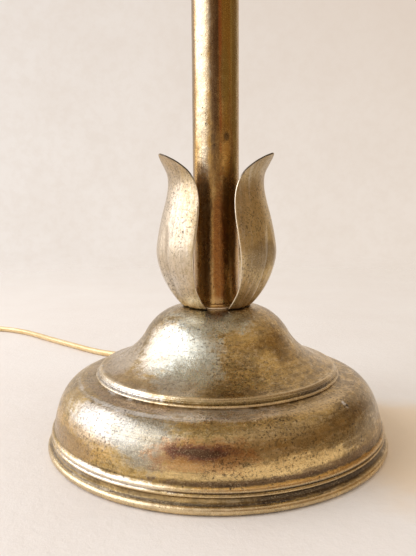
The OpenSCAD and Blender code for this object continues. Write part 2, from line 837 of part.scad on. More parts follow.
// The coil winds in on the table, climbs a layer in half a turn and winds out again on top
function coil_radius(t) = t < coil_layer_turns ? coil_r - coil_pitch*t
    : t < coil_layer_turns + coil_climb
        ? coil_inner_r - coil_dip*sin(180*(t - coil_layer_turns)/coil_climb)
        : coil_inner_r + coil_pitch*(t - coil_layer_turns - coil_climb);
function coil_rise(t) =
    let (c = min(max((t - coil_layer_turns)/coil_climb, 0), 1)) coil_pitch*c*c*(3 - 2*c);
function coil_point(t) =
    let (a = coil_start + 360*t, r = coil_radius(t))
        [coil_x + r*cos(a), coil_y + r*sin(a), coil_z + coil_rise(t)];
function coil_way(t) = let (a = coil_start + 360*t) [-sin(a), cos(a), 0];
coil_first = coil_point(0) - cord_d*coil_way(0);
coil_last = coil_point(coil_turns) + cord_d*coil_way(coil_turns);
coil_route = concat(
    [coil_first], [for (i = [0:coil_turns*coil_steps]) coil_point(i/coil_steps)], [coil_last]
);

// Least distance between strands of the coil, less the cord's own diameter
function coil_gap() = min([
    for (i = [0:len(coil_route) - 1], j = [i + 12:1:len(coil_route) - 1])
        norm(coil_route[i] - coil_route[j])
]) - cord_d;
function length_of(p) =
    [for (i = [1:len(p) - 1]) norm(p[i] - p[i - 1])]*[for (i = [1:len(p) - 1]) 1];
tail_route = concat([coil_last, coil_last + 3*coil_way(coil_turns)], tail);
echo(
        coil_gap = coil_gap(), lead = length_of(route), coil = length_of(coil_route),
        tail = length_of(tail_route)
    );

module cord_coil() {
    color(gold_cord) tube_along(coil_route, cord_d/2, 6, [0, 0, 1]);
}

module cord_tail() {
    color(gold_cord) tube_along(tail_route, cord_d/2, 10, [0, 0, 1]);
}

// Paper tie round the coil
module cord_tie() {
    inner = coil_inner_r - coil_dip - cord_d/2 - 0.4;
    outer = coil_r + cord_d/2 + 0.4;
    low = coil_z - cord_d/2 - 0.12;
    high = coil_z + coil_pitch + cord_d/2 + 0.4;
    color([0.86, 0.82, 0.74])
    translate([coil_x, coil_y, 0]) rotate([0, 0, 180]) translate([0, tie_w/2, 0]) rotate([90, 0, 0])
        linear_extrude(tie_w) difference() {
            translate([inner - tie_t, low - tie_t]) square([outer - inner + 2*tie_t, high - low + 2*tie_t]);
            translate([inner, low]) square([outer - inner, high - low]);
        }
}

// Plug: lies flat on the table beside the coil, blades away from the cord
plug_x = tail[len(tail) - 1][0];
plug_y = tail[len(tail) - 1][1];
plug_z = tail[len(tail) - 1][2];

module plug_body() {
    color([0.62, 0.48, 0.26])
    translate([plug_x, plug_y, plug_z]) rotate([90, 0, 0]) {
        hull() {
            translate([0, 0, 10]) linear_extrude(2) square([plug_w - 8, plug_h - 4], center = true);
            translate([0, 0, plug_l - 6]) linear_extrude(2) square([plug_w, plug_h], center = true);
            translate([0, 0, plug_l - 1]) linear_extrude(1) square([plug_w - 3, plug_h - 2.4], center = true);
        }
        cylinder(r1 = 3.3, r2 = 4.4, h = 12);
    }
}

module plug_blades() {
    color([0.82, 0.72, 0.45])
    for (s = [-1, 1])
        translate([plug_x + s*blade_gap/2 - blade_t/2, plug_y - plug_l - blade_l, plug_z - blade_w/2])
            difference() {
                cube([blade_t, blade_l, blade_w]);
                translate([-1, 4, blade_w/2]) rotate([0, 90, 0]) cylinder(r = 1.5, h = 4);
            }
}

foot_shell();
foot_weight();
base_plate();
felt_pad();
threaded_pipe();
base_washer();
base_nut();
leaf_crown();
seat_ring();
stem_tube();
tube_cap();
harp_saddle();
socket_cap();
cap_screw();
socket_shell();
insulating_sleeve();
socket_body();
screw_shell();
centre_contact();
terminal_screws();
lead_wires();
key_shaft();
switch_key();
harp();
harp_stud();
sleeve_left();
sleeve_right();
shade_spider();
shade_top_ring();
shade_bottom_ring();
shade_cover();
shade_trim_top();
shade_trim_bottom();
finial();
bulb_glass();
bulb_cap();
bulb_insulator();
bulb_contact();
inner_lead();
strain_relief();
cord_lead();
cord_coil();
cord_tail();
cord_tie();
plug_body();
plug_blades();
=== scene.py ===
"""Lotus leaf table lamp: the finish of every piece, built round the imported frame.

Sizes and places are in millimetres, as in the part's own drawing, and turn into metres when a mesh is made.
"""

import json
import math

import bpy
from mathutils import Matrix, Vector, noise

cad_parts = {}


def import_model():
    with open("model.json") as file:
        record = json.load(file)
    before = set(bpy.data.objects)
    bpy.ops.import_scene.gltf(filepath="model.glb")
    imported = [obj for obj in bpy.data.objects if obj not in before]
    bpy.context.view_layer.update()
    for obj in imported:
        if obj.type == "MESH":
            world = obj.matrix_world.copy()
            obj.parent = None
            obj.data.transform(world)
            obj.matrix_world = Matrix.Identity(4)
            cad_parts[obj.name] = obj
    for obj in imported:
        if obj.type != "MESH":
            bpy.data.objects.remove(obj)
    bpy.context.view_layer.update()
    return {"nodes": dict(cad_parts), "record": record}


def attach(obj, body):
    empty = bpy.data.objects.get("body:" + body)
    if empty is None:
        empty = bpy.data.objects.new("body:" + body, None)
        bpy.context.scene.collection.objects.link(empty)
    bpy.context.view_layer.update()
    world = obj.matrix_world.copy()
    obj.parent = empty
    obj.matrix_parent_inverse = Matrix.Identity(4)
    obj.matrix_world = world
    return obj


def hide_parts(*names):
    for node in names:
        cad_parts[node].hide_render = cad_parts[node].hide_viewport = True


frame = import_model()
MM = 0.001
TAU = 2*math.pi
scene = bpy.context.scene
scene.view_settings.view_transform = "Standard"

# Driving sizes, as in the part's drawing
FOOT_D, FOOT_H, SHEET, LEDGE, DOME_R = 191, 76, 1, 11.2, 40.6
LEAF_H, LEAF_R, LEAF_BASE_R, LEAF_T, CREASE = 82.8, 33, 17, 0.8, 2.6
TUBE_D, TUBE_L, TUBE_WALL = 25.4, 252, 1
PIPE_D = 10.3
SHELL_D, SHELL_H = 33.5, 42
BULB_D, BULB_L, CAP_D = 60, 110, 26.2
HARP_H, HARP_W, WIRE_D, SADDLE_W = 203, 114, 3.2, 62
SHADE_BOTTOM_D, SHADE_TOP_D, SHADE_H, PARCHMENT, DROP, TRIM_H = 305, 182, 220, 0.8, 13, 9
CORD_D, RELIEF_L = 5, 24

# Heights that follow from them
RIM_R = FOOT_D/2
SHOULDER_R, SHOULDER_Z = RIM_R - 18.5, 36.9
CREST_R, CREST_Z = SHOULDER_R - LEDGE, SHOULDER_Z + 5.7
TURN_Z = FOOT_H - 15
TOP_R = 16
PIPE_HOLE_R = PIPE_D/2 + 0.15
SEAT = 0.2
RING_T = 1.4
TUBE_Z = FOOT_H + LEAF_T + RING_T
TUBE_TOP = TUBE_Z + TUBE_L
SADDLE_Z = TUBE_TOP + 11.8
HUB_Z = SADDLE_Z + 2
HARP_TOP = SADDLE_Z + HARP_H
HUB_SEAT = HARP_TOP + 0.3
HUB_T = 3.2
SHADE_TOP = HUB_SEAT + HUB_T/2 + DROP
SHADE_Z = SHADE_TOP - SHADE_H


# Camera: where the photograph was taken from

CAMERA_AT, TILT, ROLL = (-4.8, -338.5, 135.4), 7.45, -0.42
FOCAL_PIXELS, PICTURE_HEIGHT, SENSOR = 605, 556, 36


def make_camera():
    """The camera, from its place, its tilt and roll in degrees, and the picture's focal length in pixels."""
    tilt, roll = math.radians(TILT), math.radians(ROLL)
    right, up = Vector((1, 0, 0)), Vector((0, math.sin(tilt), math.cos(tilt)))
    right, up = math.cos(roll)*right + math.sin(roll)*up, math.cos(roll)*up - math.sin(roll)*right
    turn = Matrix((right, up, right.cross(up))).transposed().to_4x4()
    data = bpy.data.cameras.new("camera")
    data.sensor_width, data.lens = SENSOR, SENSOR*FOCAL_PIXELS/PICTURE_HEIGHT
    data.clip_start, data.clip_end = 0.01, 50
    camera = bpy.data.objects.new("camera", data)
    scene.collection.objects.link(camera)
    camera.matrix_world = Matrix.Translation(Vector(CAMERA_AT)*MM) @ turn
    scene.camera = camera


make_camera()


# Curves

NEARLY_STRAIGHT = 0.94


def steps(low, high, n):
    """n + 1 values from low to high."""
    return [low + (high - low)*i/n for i in range(n + 1)]


def bez(a, b, c, d, n):
    """n + 1 points of a cubic curve."""
    points = []
    for t in steps(0, 1, n):
        s = 1 - t
        points.append(tuple(s**3*p + 3*s*s*t*q + 3*s*t*t*r + t**3*e for p, q, r, e in zip(a, b, c, d)))
    return points


def arc(x, y, r, start, end, n):
    """n + 1 points of an arc, its angles in degrees."""
    angles = [math.radians(a) for a in steps(start, end, n)]
    return [(x + r*math.cos(a), y + r*math.sin(a)) for a in angles]


def inset(points, t):
    """A plane curve moved sideways to the left of its own direction."""
    moved = []
    for i, p in enumerate(points):
        a, b = Vector(points[max(i - 1, 0)]), Vector(points[min(i + 1, len(points) - 1)])
        d = (b - a).normalized()
        moved.append((p[0] - t*d.y, p[1] + t*d.x))
    return moved


def filleted(points, radius):
    """A closed outline with its corners rounded, as far as the sides beside them allow."""
    out = []
    for i, p in enumerate(points):
        p, a, b = Vector(p), Vector(points[i - 1]), Vector(points[(i + 1) % len(points)])
        u, v = a - p, b - p
        near = min(u.length, v.length)
        if near < 1e-6 or p.x < 1e-6 or abs(u.normalized().dot(v.normalized())) > NEARLY_STRAIGHT:
            out.append(tuple(p))
            continue
        r = min(radius, 0.45*near)
        start, end = p + u.normalized()*r, p + v.normalized()*r
        out += [tuple(start*(1 - t)**2 + p*2*t*(1 - t) + end*t*t) for t in (0, 1/3, 2/3, 1)]
    return out


def spline(p, u):
    """The point at place u of a smooth line through the points p; place i is point i."""
    last = len(p) - 1
    i = min(int(u), last - 1)
    t = u - i
    a, b, c, d = p[max(i - 1, 0)], p[i], p[i + 1], p[min(i + 2, last)]
    return 0.5*(2*b + (c - a)*t + (2*a - 5*b + 4*c - d)*t*t + (3*b - a - 3*c + d)*t**3)


def catmull(points, n):
    """A smooth line through points, with n pieces between each two."""
    p = [Vector(q) for q in points]
    return [spline(p, k/n) for k in range(n*(len(p) - 1))] + [p[-1]]


def turned(r, a, z):
    """The point at a radius, an angle and a height."""
    return Vector((r*math.cos(a), r*math.sin(a), z))


def circle(r, sides):
    return [(r*math.cos(TAU*k/sides), r*math.sin(TAU*k/sides)) for k in range(sides)]


# Node graphs

MATERIALS = {}  # by name

# How far the torn edge of a spot or a band reaches
SPOT_TEAR, SPOT_END, SPOT_FULL = 1.4, 1.95, 1.3
BAND_END, BAND_FULL = 1.3, 0.7


class Graph:
    """The nodes of a material or the world. An input takes a number, a colour or another node's output."""

    def __init__(self, name, owner=None):
        self.name, self.owner = name, owner or bpy.data.materials.new(name)
        self.owner.use_nodes = True
        self.tree = self.owner.node_tree
        self.tree.nodes.clear()

    def node(self, kind, inputs=(), **settings):
        made = self.tree.nodes.new("ShaderNode" + kind)
        for key, value in settings.items():
            setattr(made, key, value)
        for key, value in dict(inputs).items():
            self.put(made.inputs[key], value)
        return made

    def put(self, socket, value):
        if isinstance(value, bpy.types.NodeSocket):
            self.tree.links.new(value, socket)
        elif socket.type == "RGBA":
            socket.default_value = (*value, 1)
        else:
            socket.default_value = value

    def math(self, operation, a, b, clamp=False):
        return self.node("Math", {0: a, 1: b}, operation=operation, use_clamp=clamp).outputs[0]

    def times(self, a, b):
        return self.math("MULTIPLY", a, b)

    def weighed(self, *pairs, start=0.0):
        """The sum of values, each multiplied by its weight."""
        total = start
        for value, weight in pairs:
            total = self.node("Math", {0: value, 1: weight, 2: total}, operation="MULTIPLY_ADD").outputs[0]
        return total

    def vector(self, operation, a, b=(0, 0, 0)):
        return self.node("VectorMath", {0: a, 1: b}, operation=operation).outputs

    def split(self, vector):
        return self.node("SeparateXYZ", {0: vector}).outputs

    def join(self, *parts):
        return self.node("CombineXYZ", enumerate(parts)).outputs[0]

    def mix(self, factor, a, b):
        return self.node("Mix", {0: factor, 6: a, 7: b}, data_type="RGBA", clamp_factor=True).outputs[2]

    def level(self, value, low, high, to_low=0.0, to_high=1.0):
        """value carried from low..high to to_low..to_high, with soft ends."""
        inputs = enumerate((value, low, high, to_low, to_high))
        return self.node("MapRange", inputs, interpolation_type="SMOOTHSTEP").outputs[0]

    def layers(self, colour, *tones):
        """colour under tones laid on in turn, each from none at a value's low to its most at its high."""
        for tone, value, low, high, most in tones:
            colour = self.mix(self.level(value, low, high, 0, most), colour, tone)
        return colour

    def place(self):
        return self.node("TexCoord").outputs["Object"]

    def noise(self, scale, detail=5.0, rough=0.6, distortion=0.0, at=None):
        """A noise of one scale, or of a scale for each axis."""
        if isinstance(scale, tuple):
            at, scale = self.node("Mapping", {"Vector": self.place(), "Scale": scale}).outputs[0], 1
        return self.node("TexNoise", {
            "Vector": at or self.place(), "Scale": scale, "Detail": detail, "Roughness": rough,
            "Distortion": distortion,
        }).outputs["Fac"]

    def around(self):
        """A point seen from the lamp's axis: its direction as x and y, how far out it lies, and its height."""
        x, y, z = self.split(self.place())
        flat = self.join(x, y)
        way = self.split(self.vector("NORMALIZE", flat)[0])
        return way[0], way[1], self.vector("LENGTH", flat)["Value"], z

    def lines(self, turning, along, *settings, run=False):
        """A noise with one scale round the lamp's axis and one up it: fast round it for a tube's wipe marks,
        fast up it for a lathe's. With run, outward counts as down, so that they lie round a dome too."""
        x, y, reach, height = self.around()
        if run:
            height = self.math("SUBTRACT", height, reach)
        at = self.join(self.times(x, turning), self.times(y, turning), self.times(height, along))
        return self.noise(1, *settings, at=at)

    def spot(self, centre, size, edge):
        """1 inside an ellipsoid, 0 outside it, its edge broken up by edge. Places and sizes are in mm."""
        moved = self.vector("SUBTRACT", self.place(), [c*MM for c in centre])[0]
        far = self.vector("LENGTH", self.vector("DIVIDE", moved, [c*MM for c in size])[0])["Value"]
        return self.level(self.weighed((edge, SPOT_TEAR), start=far), SPOT_END, SPOT_FULL)

    def band(self, run, side, limits, edge):
        """1 on a stretch of the foot's profile between two angles, torn at its edges; in mm and degrees."""
        low, high, *angles = limits
        start, end = (math.sin(math.radians(a)) for a in angles)
        apart = [
            self.math("DIVIDE", self.math("SUBTRACT", value, (first + last)/2), (last - first)/2)
            for value, first, last in ((run, low, high), (side, start, end))
        ]
        far = self.vector("LENGTH", self.join(*apart))["Value"]
        return self.level(self.math("ADD", far, edge), BAND_END, BAND_FULL)

    def mark(self, name):
        """A value that the mesh carries at its points."""
        return self.node("Attribute", attribute_name=name).outputs["Fac"]

    def bump(self, height, distance, below=None):
        inputs = {"Height": height, "Distance": distance}
        if below:
            inputs["Normal"] = below
        return self.node("Bump", inputs).outputs[0]

    def principled(self, **inputs):
        """The shader itself. Its inputs are named as on the node, with _ for a space."""
        return self.node("BsdfPrincipled", {key.replace("_", " "): value for key, value in inputs.items()})

    def output(self, shader, kind="OutputMaterial"):
        """Ends the graph in a shader, and gives back what the graph belongs to."""
        self.tree.links.new(shader.outputs[0], self.node(kind).inputs[0])
        return self.owner

    def finish(self, **inputs):
        """Ends the graph in a principled shader, and keeps the material under its name."""
        MATERIALS[self.name] = self.output(self.principled(**inputs))


# Materials

WORN, GOLD, OLIVE, DARK = (0.74, 0.59, 0.36), (0.62, 0.42, 0.14), (0.22, 0.145, 0.052), (0.045, 0.027, 0.014)

# The brass's four line patterns: scales round the axis and up it, detail, roughness and distortion
UPRIGHT_LINES = ((38, 9, 6, 0.7), (9, 5, 6, 0.66), (5, 26, 8, 0.66), (11, 40, 9, 0.72, 0.5))
ROUND_LINES = ((1.7, 1000, 7, 0.75), (2.4, 150, 6, 0.68), (6, 210, 8, 0.7), (10, 330, 9, 0.72, 0.5))


def aged_brass(name, worn=WORN, gold=GOLD, olive=OLIVE, dark=DARK, rough=0.3, patch=24, tarnish=0.5, lines=0.4,
               coat=0.3, upright=False, speckle=0.5, soil=0.8, edge=0.4, spots=(), bands=()):
    """Old brass: gold under olive tarnish in patches, worn pale places, dark dirt in the hollows, speckles,
    pits and fine marks. Each spot is a colour, a strength, and a centre and half-sizes in mm. Each band is a
    colour, a strength, and a stretch of the profile's run in mm between two angles in degrees. Some spots and
    bands are painted highlights, reflections or shade rather than tarnish, and a mark of the mesh darkens the
    leaves at their roots and tips."""
    g = Graph(name)
    cloud = g.noise(patch, 8, 0.6, 0.4)
    mottle = g.noise(patch*5, 9, 0.7, 0.6)
    flake = g.noise(patch*14, 8, 0.75, 1.0)
    grain = g.noise(820, 5, 0.75)
    fine = g.noise((1700, 1700, 2210), 3)
    ways = UPRIGHT_LINES if upright else ROUND_LINES
    marks, streak, drawn, rubbed = (g.lines(*way, run=not upright) for way in ways)
    mixed = g.weighed((cloud, 0.3), (mottle, 0.25), (drawn, 0.45))
    colour = g.layers(
        gold, (olive, mixed, 0.42, 0.58, 0.6 + 0.4*tarnish), (worn, rubbed, 0.52, 0.64, 0.7),
        (olive, flake, 0.52, 0.62, 0.6*tarnish), (worn, flake, 0.46, 0.36, 0.4),
    )
    for tone, strength, centre, size in spots:
        colour = g.mix(g.times(g.spot(centre, size, mottle), strength), colour, tone)
    if bands:
        run, side = g.mark("run"), g.around()[0]
        torn = g.weighed((mottle, 1.6), (drawn, 1.8), (flake, 1.2), start=-2.3)
        for tone, strength, *limits in bands:
            colour = g.mix(g.times(g.band(run, side, limits, torn), strength), colour, tone)
    colour = g.layers(
        colour, (olive, streak, 0.50, 0.72, 0.6*tarnish), (worn, marks, 0.55, 0.72, 0.7*tarnish),
        (dark, marks, 0.45, 0.28, 0.9*tarnish),
    )
    patchy = g.level(g.noise(patch*1.3), 0.40, 0.60, 0.3, 1)
    colour = g.mix(g.times(g.level(grain, 0.52, 0.60, 0, speckle), patchy), colour, dark)
    colour = g.layers(colour, (worn, fine, 0.55, 0.66, 0.6*speckle))
    hollow = g.mark("hollow")
    dirt = g.times(g.level(hollow, 0.53, 1.0, 0, soil), g.level(mottle, 0.36, 0.6, 0.25, 0.85))
    bright = tuple(min(1, 1.25*c) for c in worn)
    colour = g.layers(g.mix(dirt, colour, dark), (bright, hollow, 0.42, 0.1, edge))
    pits = g.level(g.noise(620, 2, 0.5), 0.70, 0.76)
    # Darker where the mesh marks the leaves' roots and tips, and in the pits
    for value, strength in ((g.mark("root_and_tip_dark"), 0.92), (pits, 0.85)):
        colour = g.mix(g.times(value, strength), colour, dark)
    roughness = g.math("ADD", g.level(mottle, 0.25, 0.75, rough - 0.06, rough + 0.12),
                       g.level(grain, 0.35, 0.75, -0.03, 0.09))
    roughness = g.math("ADD", roughness, g.times(dirt, 0.2), clamp=True)
    bumped = None
    for height, distance in (
        (marks, 0.00006*lines), (grain, 0.00005), (g.noise(75, 4, 0.5), 0.0008), (flake, 0.00014),
        (g.math("SUBTRACT", 1.0, pits), 0.00015),
    ):
        bumped = g.bump(height, distance, bumped)
    g.finish(
        Base_Color=colour, Metallic=1.0, Roughness=roughness, Normal=bumped,
        Coat_Weight=coat, Coat_Roughness=0.3, Coat_IOR=1.45,
    )


def plain(name, base, tones, grain, rough, relief, **inputs):
    """A base under tones, each by a noise of its own, by a mark of the mesh or by the grain, which the
    roughness and the relief follow too."""
    g = Graph(name)
    grain = g.noise(*grain)
    laid = []
    for tone, pattern, *limits in tones:
        value = g.mark(pattern) if isinstance(pattern, str) else g.noise(*pattern) if pattern else grain
        laid.append((tone, value, *limits))
    if isinstance(rough, tuple):
        rough = g.level(grain, 0.3, 0.7, *rough)
    g.finish(Base_Color=g.layers(base, *laid), Roughness=rough, Normal=g.bump(grain, relief), **inputs)


def steel(name, tone, along=900):
    g = Graph(name)
    marks = g.lines(1.2, along, 5, 0.7, run=True)
    dull = tuple(0.45*c for c in tone)
    g.finish(
        Base_Color=g.layers(tone, (dull, g.noise(120, 6, 0.65), 0.45, 0.75, 0.5)), Metallic=1.0,
        Roughness=g.level(marks, 0.3, 0.75, 0.24, 0.42), Normal=g.bump(marks, 0.00003),
    )


def moulding(name, tone, rough):
    """Moulded phenolic or rubber: nearly even, with a faint swirl and a soft orange peel."""
    swirl = tuple(1.6*c + 0.01 for c in tone)
    plain(name, tone, [(swirl, (38, 6, 0.6, 1.2), 0.4, 0.7, 1)], (420, 3, 0.5), (rough - 0.06, rough + 0.1),
          0.00004)


def parchment():
    """Laminated parchment paper: mottled cream with fine fibres; light passes through it."""
    g = Graph("parchment")
    fine = g.noise(210, 6, 0.7)
    fibres = g.noise((520, 520, 60), 5, 0.75, 2.4)
    colour = g.layers(
        (0.83, 0.74, 0.56), ((0.74, 0.60, 0.39), g.noise(26, 8, 0.68, 0.7), 0.36, 0.66, 1),
        ((0.62, 0.47, 0.28), fine, 0.48, 0.7, 0.35), ((0.90, 0.84, 0.70), fibres, 0.62, 0.72, 0.5),
    )
    g.finish(
        Base_Color=colour, Roughness=g.level(fine, 0.3, 0.7, 0.46, 0.62),
        Normal=g.bump(fibres, 0.0001, g.bump(fine, 0.00015)), Transmission_Weight=0.12, Subsurface_Weight=0.1,
    )


def cord_sheath():
    """Clear gold sheath over twisted copper: strands show faintly under a smooth gloss."""
    g = Graph("cord_sheath")
    along = g.split(g.node("UVMap", uv_map="run").outputs[0])
    strands = g.math("SINE", g.weighed((along[0], 60*TAU), (along[1], 2*TAU)), 0)
    scuff = g.noise(700, 4, 0.7)
    colour = g.layers(
        (0.72, 0.50, 0.21), ((0.80, 0.60, 0.31), g.noise(30), 0.35, 0.7, 1),
        ((0.90, 0.74, 0.46), strands, -0.6, 0.9, 0.22),
    )
    g.finish(
        Base_Color=colour, Metallic=0.35, Roughness=g.level(scuff, 0.35, 0.75, 0.26, 0.42), Coat_Weight=0.6,
        Coat_Roughness=0.12, Normal=g.bump(scuff, 0.00003),
    )


def tie_paper():
    g = Graph("tie_paper")
    fine = g.noise(900, 5, 0.7)
    crease = g.noise((140, 500, 140), 5, 0.65)
    g.finish(
        Base_Color=g.layers((0.80, 0.75, 0.66), ((0.70, 0.64, 0.54), fine, 0.35, 0.7, 1)),
        Roughness=g.level(fine, 0.3, 0.7, 0.7, 0.85), Normal=g.bump(crease, 0.0003),
    )


SILVER_AND_HIGHLIGHT, GREY, STEEL_GREY = (0.76, 0.76, 0.75), (0.51, 0.53, 0.46), (0.32, 0.31, 0.26)
STAIN, AMBER, BROWN, UMBER = (0.17, 0.065, 0.045), (0.74, 0.44, 0.12), (0.28, 0.18, 0.10), (0.11, 0.06, 0.032)
SOOT_AND_SHADE, TAN, MOSS_AND_REFLECTION, RED = (0.035, 0.028, 0.028), (0.70, 0.52, 0.27), (0.20, 0.14, 0.045), (0.52, 0.17, 0.045)
CHAMPAGNE_LIT, LIVE_GOLD, COPPER = (0.66, 0.58, 0.48), (0.66, 0.50, 0.21), (0.25, 0.092, 0.014)
STRAW, RUST, LIVE_OLIVE = (0.96, 0.71, 0.33), (0.44, 0.20, 0.06), (0.35, 0.28, 0.09)
PEWTER, PAINTED_DUSK, HONEY = (0.64, 0.60, 0.50), (0.22, 0.14, 0.06), (0.47, 0.29, 0.05)
LEMON_HIGHLIGHT, REED = (0.82, 0.77, 0.60), (0.56, 0.46, 0.16)
# Bands of the foot, each a tone, a strength, a stretch of the profile's run in mm and two angles in degrees.
# Besides tarnish, stain and rust they hold painted light for one view: the silver bands on the window side are
# painted highlights, the champagne band far left on the flare is painted light, the grey bands left of the
# front are grey tarnish with a painted sheen, the moss stripe on the step and flare at the front is a painted
# reflection, the amber line at the foot of the wall and the straw bands low on its front are partly painted
# reflections of the table, and the soot bands in the cove, the groove and on the step, darkest on the right,
# are partly painted shade.
FOOT_PATINA_AND_LIGHT = (
    (SILVER_AND_HIGHLIGHT, 0.5, 74, 106, -66, -26), (SILVER_AND_HIGHLIGHT, 0.6, 25, 45, -60, -26),
    (AMBER, 0.4, 17, 31, -85, -30), (CHAMPAGNE_LIT, 0.7, 62, 84, -88, -58),
    (GREY, 0.9, 60, 110, -40, 1), (GREY, 0.8, 100, 121, -55, 38),
    (BROWN, 0.45, 60, 73, -80, -8), (MOSS_AND_REFLECTION, 0.4, 35, 43, -18, 22),
    (SILVER_AND_HIGHLIGHT, 0.8, 45, 55.5, -26, 26), (STRAW, 0.9, 17.5, 25.5, -20, 16),
    (MOSS_AND_REFLECTION, 0.35, 55, 74, -8, 12), (STEEL_GREY, 0.85, 21, 46, -36, -13),
    (TAN, 0.35, 24, 40, -4, 40), (MOSS_AND_REFLECTION, 0.3, 27, 41, 14, 66),
    (TAN, 0.6, 44, 52, 8, 68), (SILVER_AND_HIGHLIGHT, 0.7, 43.7, 46.8, -70, -4),
    (BROWN, 0.75, 47, 55.8, -80, -12), (UMBER, 0.15, 51, 54.4, -12, 24),
    (SILVER_AND_HIGHLIGHT, 0.7, 54.6, 61.8, -80, -24), (TAN, 0.6, 54.6, 56.8, -26, 30),
    (MOSS_AND_REFLECTION, 0.7, 57.2, 61, -14, 40), (SOOT_AND_SHADE, 0.75, 56.8, 61, 34, 60),
    (STRAW, 0.9, 17.5, 26, 10, 42), (RUST, 0.7, 21, 35, -20, 9),
    (STAIN, 0.9, 26.4, 33.2, -16, 3), (UMBER, 0.8, 27.5, 31.8, -12, 0),
    (UMBER, 0.85, 15, 18.4, -18, 36), (UMBER, 0.75, 15, 20.2, 20, 66),
    (BROWN, 0.55, 16, 25, -80, -42), (SILVER_AND_HIGHLIGHT, 0.6, 10.2, 15.6, -62, -14),
    (AMBER, 0.85, 13, 15.7, -8, 80), (SOOT_AND_SHADE, 0.85, 11.9, 13.6, 0, 80),
    (UMBER, 0.75, 11.9, 13.3, -18, 10), (TAN, 0.45, 7.4, 10.4, -50, 4),
    (SILVER_AND_HIGHLIGHT, 0.5, 7.6, 10.2, -85, -40), (SOOT_AND_SHADE, 0.85, 6.2, 10.8, 6, 85),
    (SOOT_AND_SHADE, 0.8, 5.6, 7.1, -88, 20), (PEWTER, 0.35, 2.5, 5.9, -85, 8),
)
FOOT_SPOTS = (
    (SOOT_AND_SHADE, 0.95, (63.1, -52.2, 34.5), (1.0, 1.2, 0.9)),
    (SILVER_AND_HIGHLIGHT, 0.9, (61.3, -51.5, 35.2), (1.3, 1.5, 1.1)),
    (SILVER_AND_HIGHLIGHT, 0.7, (63.6, -53.6, 33.8), (1.6, 0.8, 0.5)),
)
STEM_TONES = dict(
    worn=(0.62, 0.43, 0.19), gold=(0.58, 0.34, 0.09), olive=(0.27, 0.145, 0.042), dark=(0.04, 0.018, 0.008)
)
LEAF_TONES = dict(
    worn=(0.77, 0.68, 0.53), gold=(0.66, 0.49, 0.25), olive=(0.42, 0.31, 0.155), dark=(0.05, 0.034, 0.02)
)
# Spots of the tube, each a tone, a strength, and a centre and half-sizes in mm. High up they are painted
# reflections in upright stripes: the dusk left edge, the lemon highlight, the umber band at the front, the red
# line, the honey strip, the reed line and the olive right edge. Lower down, between and above the leaves,
# copper, umber, amber and soot spots darken and colour the tube.
STEM_PATINA_AND_REFLECTIONS = (
    (UMBER, 0.8, (-0.8, -12.7, 240), (3.0, 4, 100)), (PAINTED_DUSK, 0.75, (-12.4, -3, 240), (1.7, 8, 110)),
    (RED, 0.7, (2.4, -12.5, 240), (0.9, 4, 90)), (HONEY, 0.7, (5.6, -11.4, 250), (2.6, 4, 90)),
    (LIVE_OLIVE, 0.75, (10.2, -7.5, 240), (2.4, 5, 110)), (UMBER, 0.5, (-5.8, -11.3, 116), (3.2, 4, 44)),
    (UMBER, 0.5, (7.6, -10.2, 116), (3.2, 4, 44)), (COPPER, 1.0, (1.4, -12.6, 106), (4, 4, 40)),
    (LEMON_HIGHLIGHT, 0.5, (-7.2, -10.5, 235), (4.2, 6, 104)), (LIVE_OLIVE, 0.5, (4.6, -11.8, 198), (2.8, 4, 17)),
    (REED, 0.6, (8.2, -9.7, 235), (0.5, 3, 60)), (AMBER, 0.75, (5.4, -11.5, 157), (2.2, 4, 11)),
    (SOOT_AND_SHADE, 0.65, (5.6, -11.4, 168), (1.7, 3, 2.6)), (SOOT_AND_SHADE, 0.5, (-1.6, -12.6, 166), (1.5, 3, 4)),
)
# Spots of the leaves, each a tone, a strength, and a centre and half-sizes in mm: the left leaf, on the window
# side, gets a lit champagne tone and a silver patch low down as painted light, the right leaf gets dusk on its
# right side as painted shade, and the rest is tarnish.
LEAF_PATINA_AND_LIGHT = (
    (CHAMPAGNE_LIT, 0.6, (-30, -16, 112), (22, 30, 44)), (BROWN, 0.3, (-30, -16, 156), (20, 26, 18)),
    (PAINTED_DUSK, 0.45, (40, -8, 132), (11, 26, 44)), (PAINTED_DUSK, 0.35, (32, -12, 154), (17, 24, 16)),
    (SILVER_AND_HIGHLIGHT, 0.35, (-26, -18, 84), (16, 24, 13)), (LIVE_GOLD, 0.55, (25, -14, 116), (13, 22, 26)),
    (UMBER, 0.6, (23, -16, 105), (11, 18, 9)),
)

aged_brass("foot_brass", rough=0.25, patch=20, tarnish=0.75, speckle=0.8, soil=0.5, spots=FOOT_SPOTS,
           bands=FOOT_PATINA_AND_LIGHT)
aged_brass("leaf_brass", **LEAF_TONES, rough=0.35, patch=34, tarnish=0.6, lines=0.1, speckle=0.7, upright=True,
           edge=0.95, spots=LEAF_PATINA_AND_LIGHT)
aged_brass("stem_brass", **STEM_TONES, rough=0.2, patch=26, tarnish=0.6, lines=0.05, speckle=0.25, upright=True,
           coat=0.4, spots=STEM_PATINA_AND_REFLECTIONS)
aged_brass("fitting_brass", rough=0.26, patch=34, tarnish=0.35, lines=0.3, speckle=0.3)
aged_brass("inner_brass", rough=0.26, patch=40, tarnish=0.2, speckle=0.2, coat=0)
aged_brass("blade_brass", worn=(0.82, 0.72, 0.48), gold=(0.76, 0.58, 0.26), rough=0.23, patch=60, tarnish=0.1,
           speckle=0.15, coat=0)
steel("cap_metal", (0.80, 0.77, 0.70))
steel("steel", (0.56, 0.55, 0.53))
steel("ring_wire", (0.62, 0.58, 0.50), 400)
moulding("moulding", (0.02, 0.017, 0.015), 0.34)
moulding("relief", (0.46, 0.30, 0.12), 0.36)
parchment()
cord_sheath()
tie_paper()
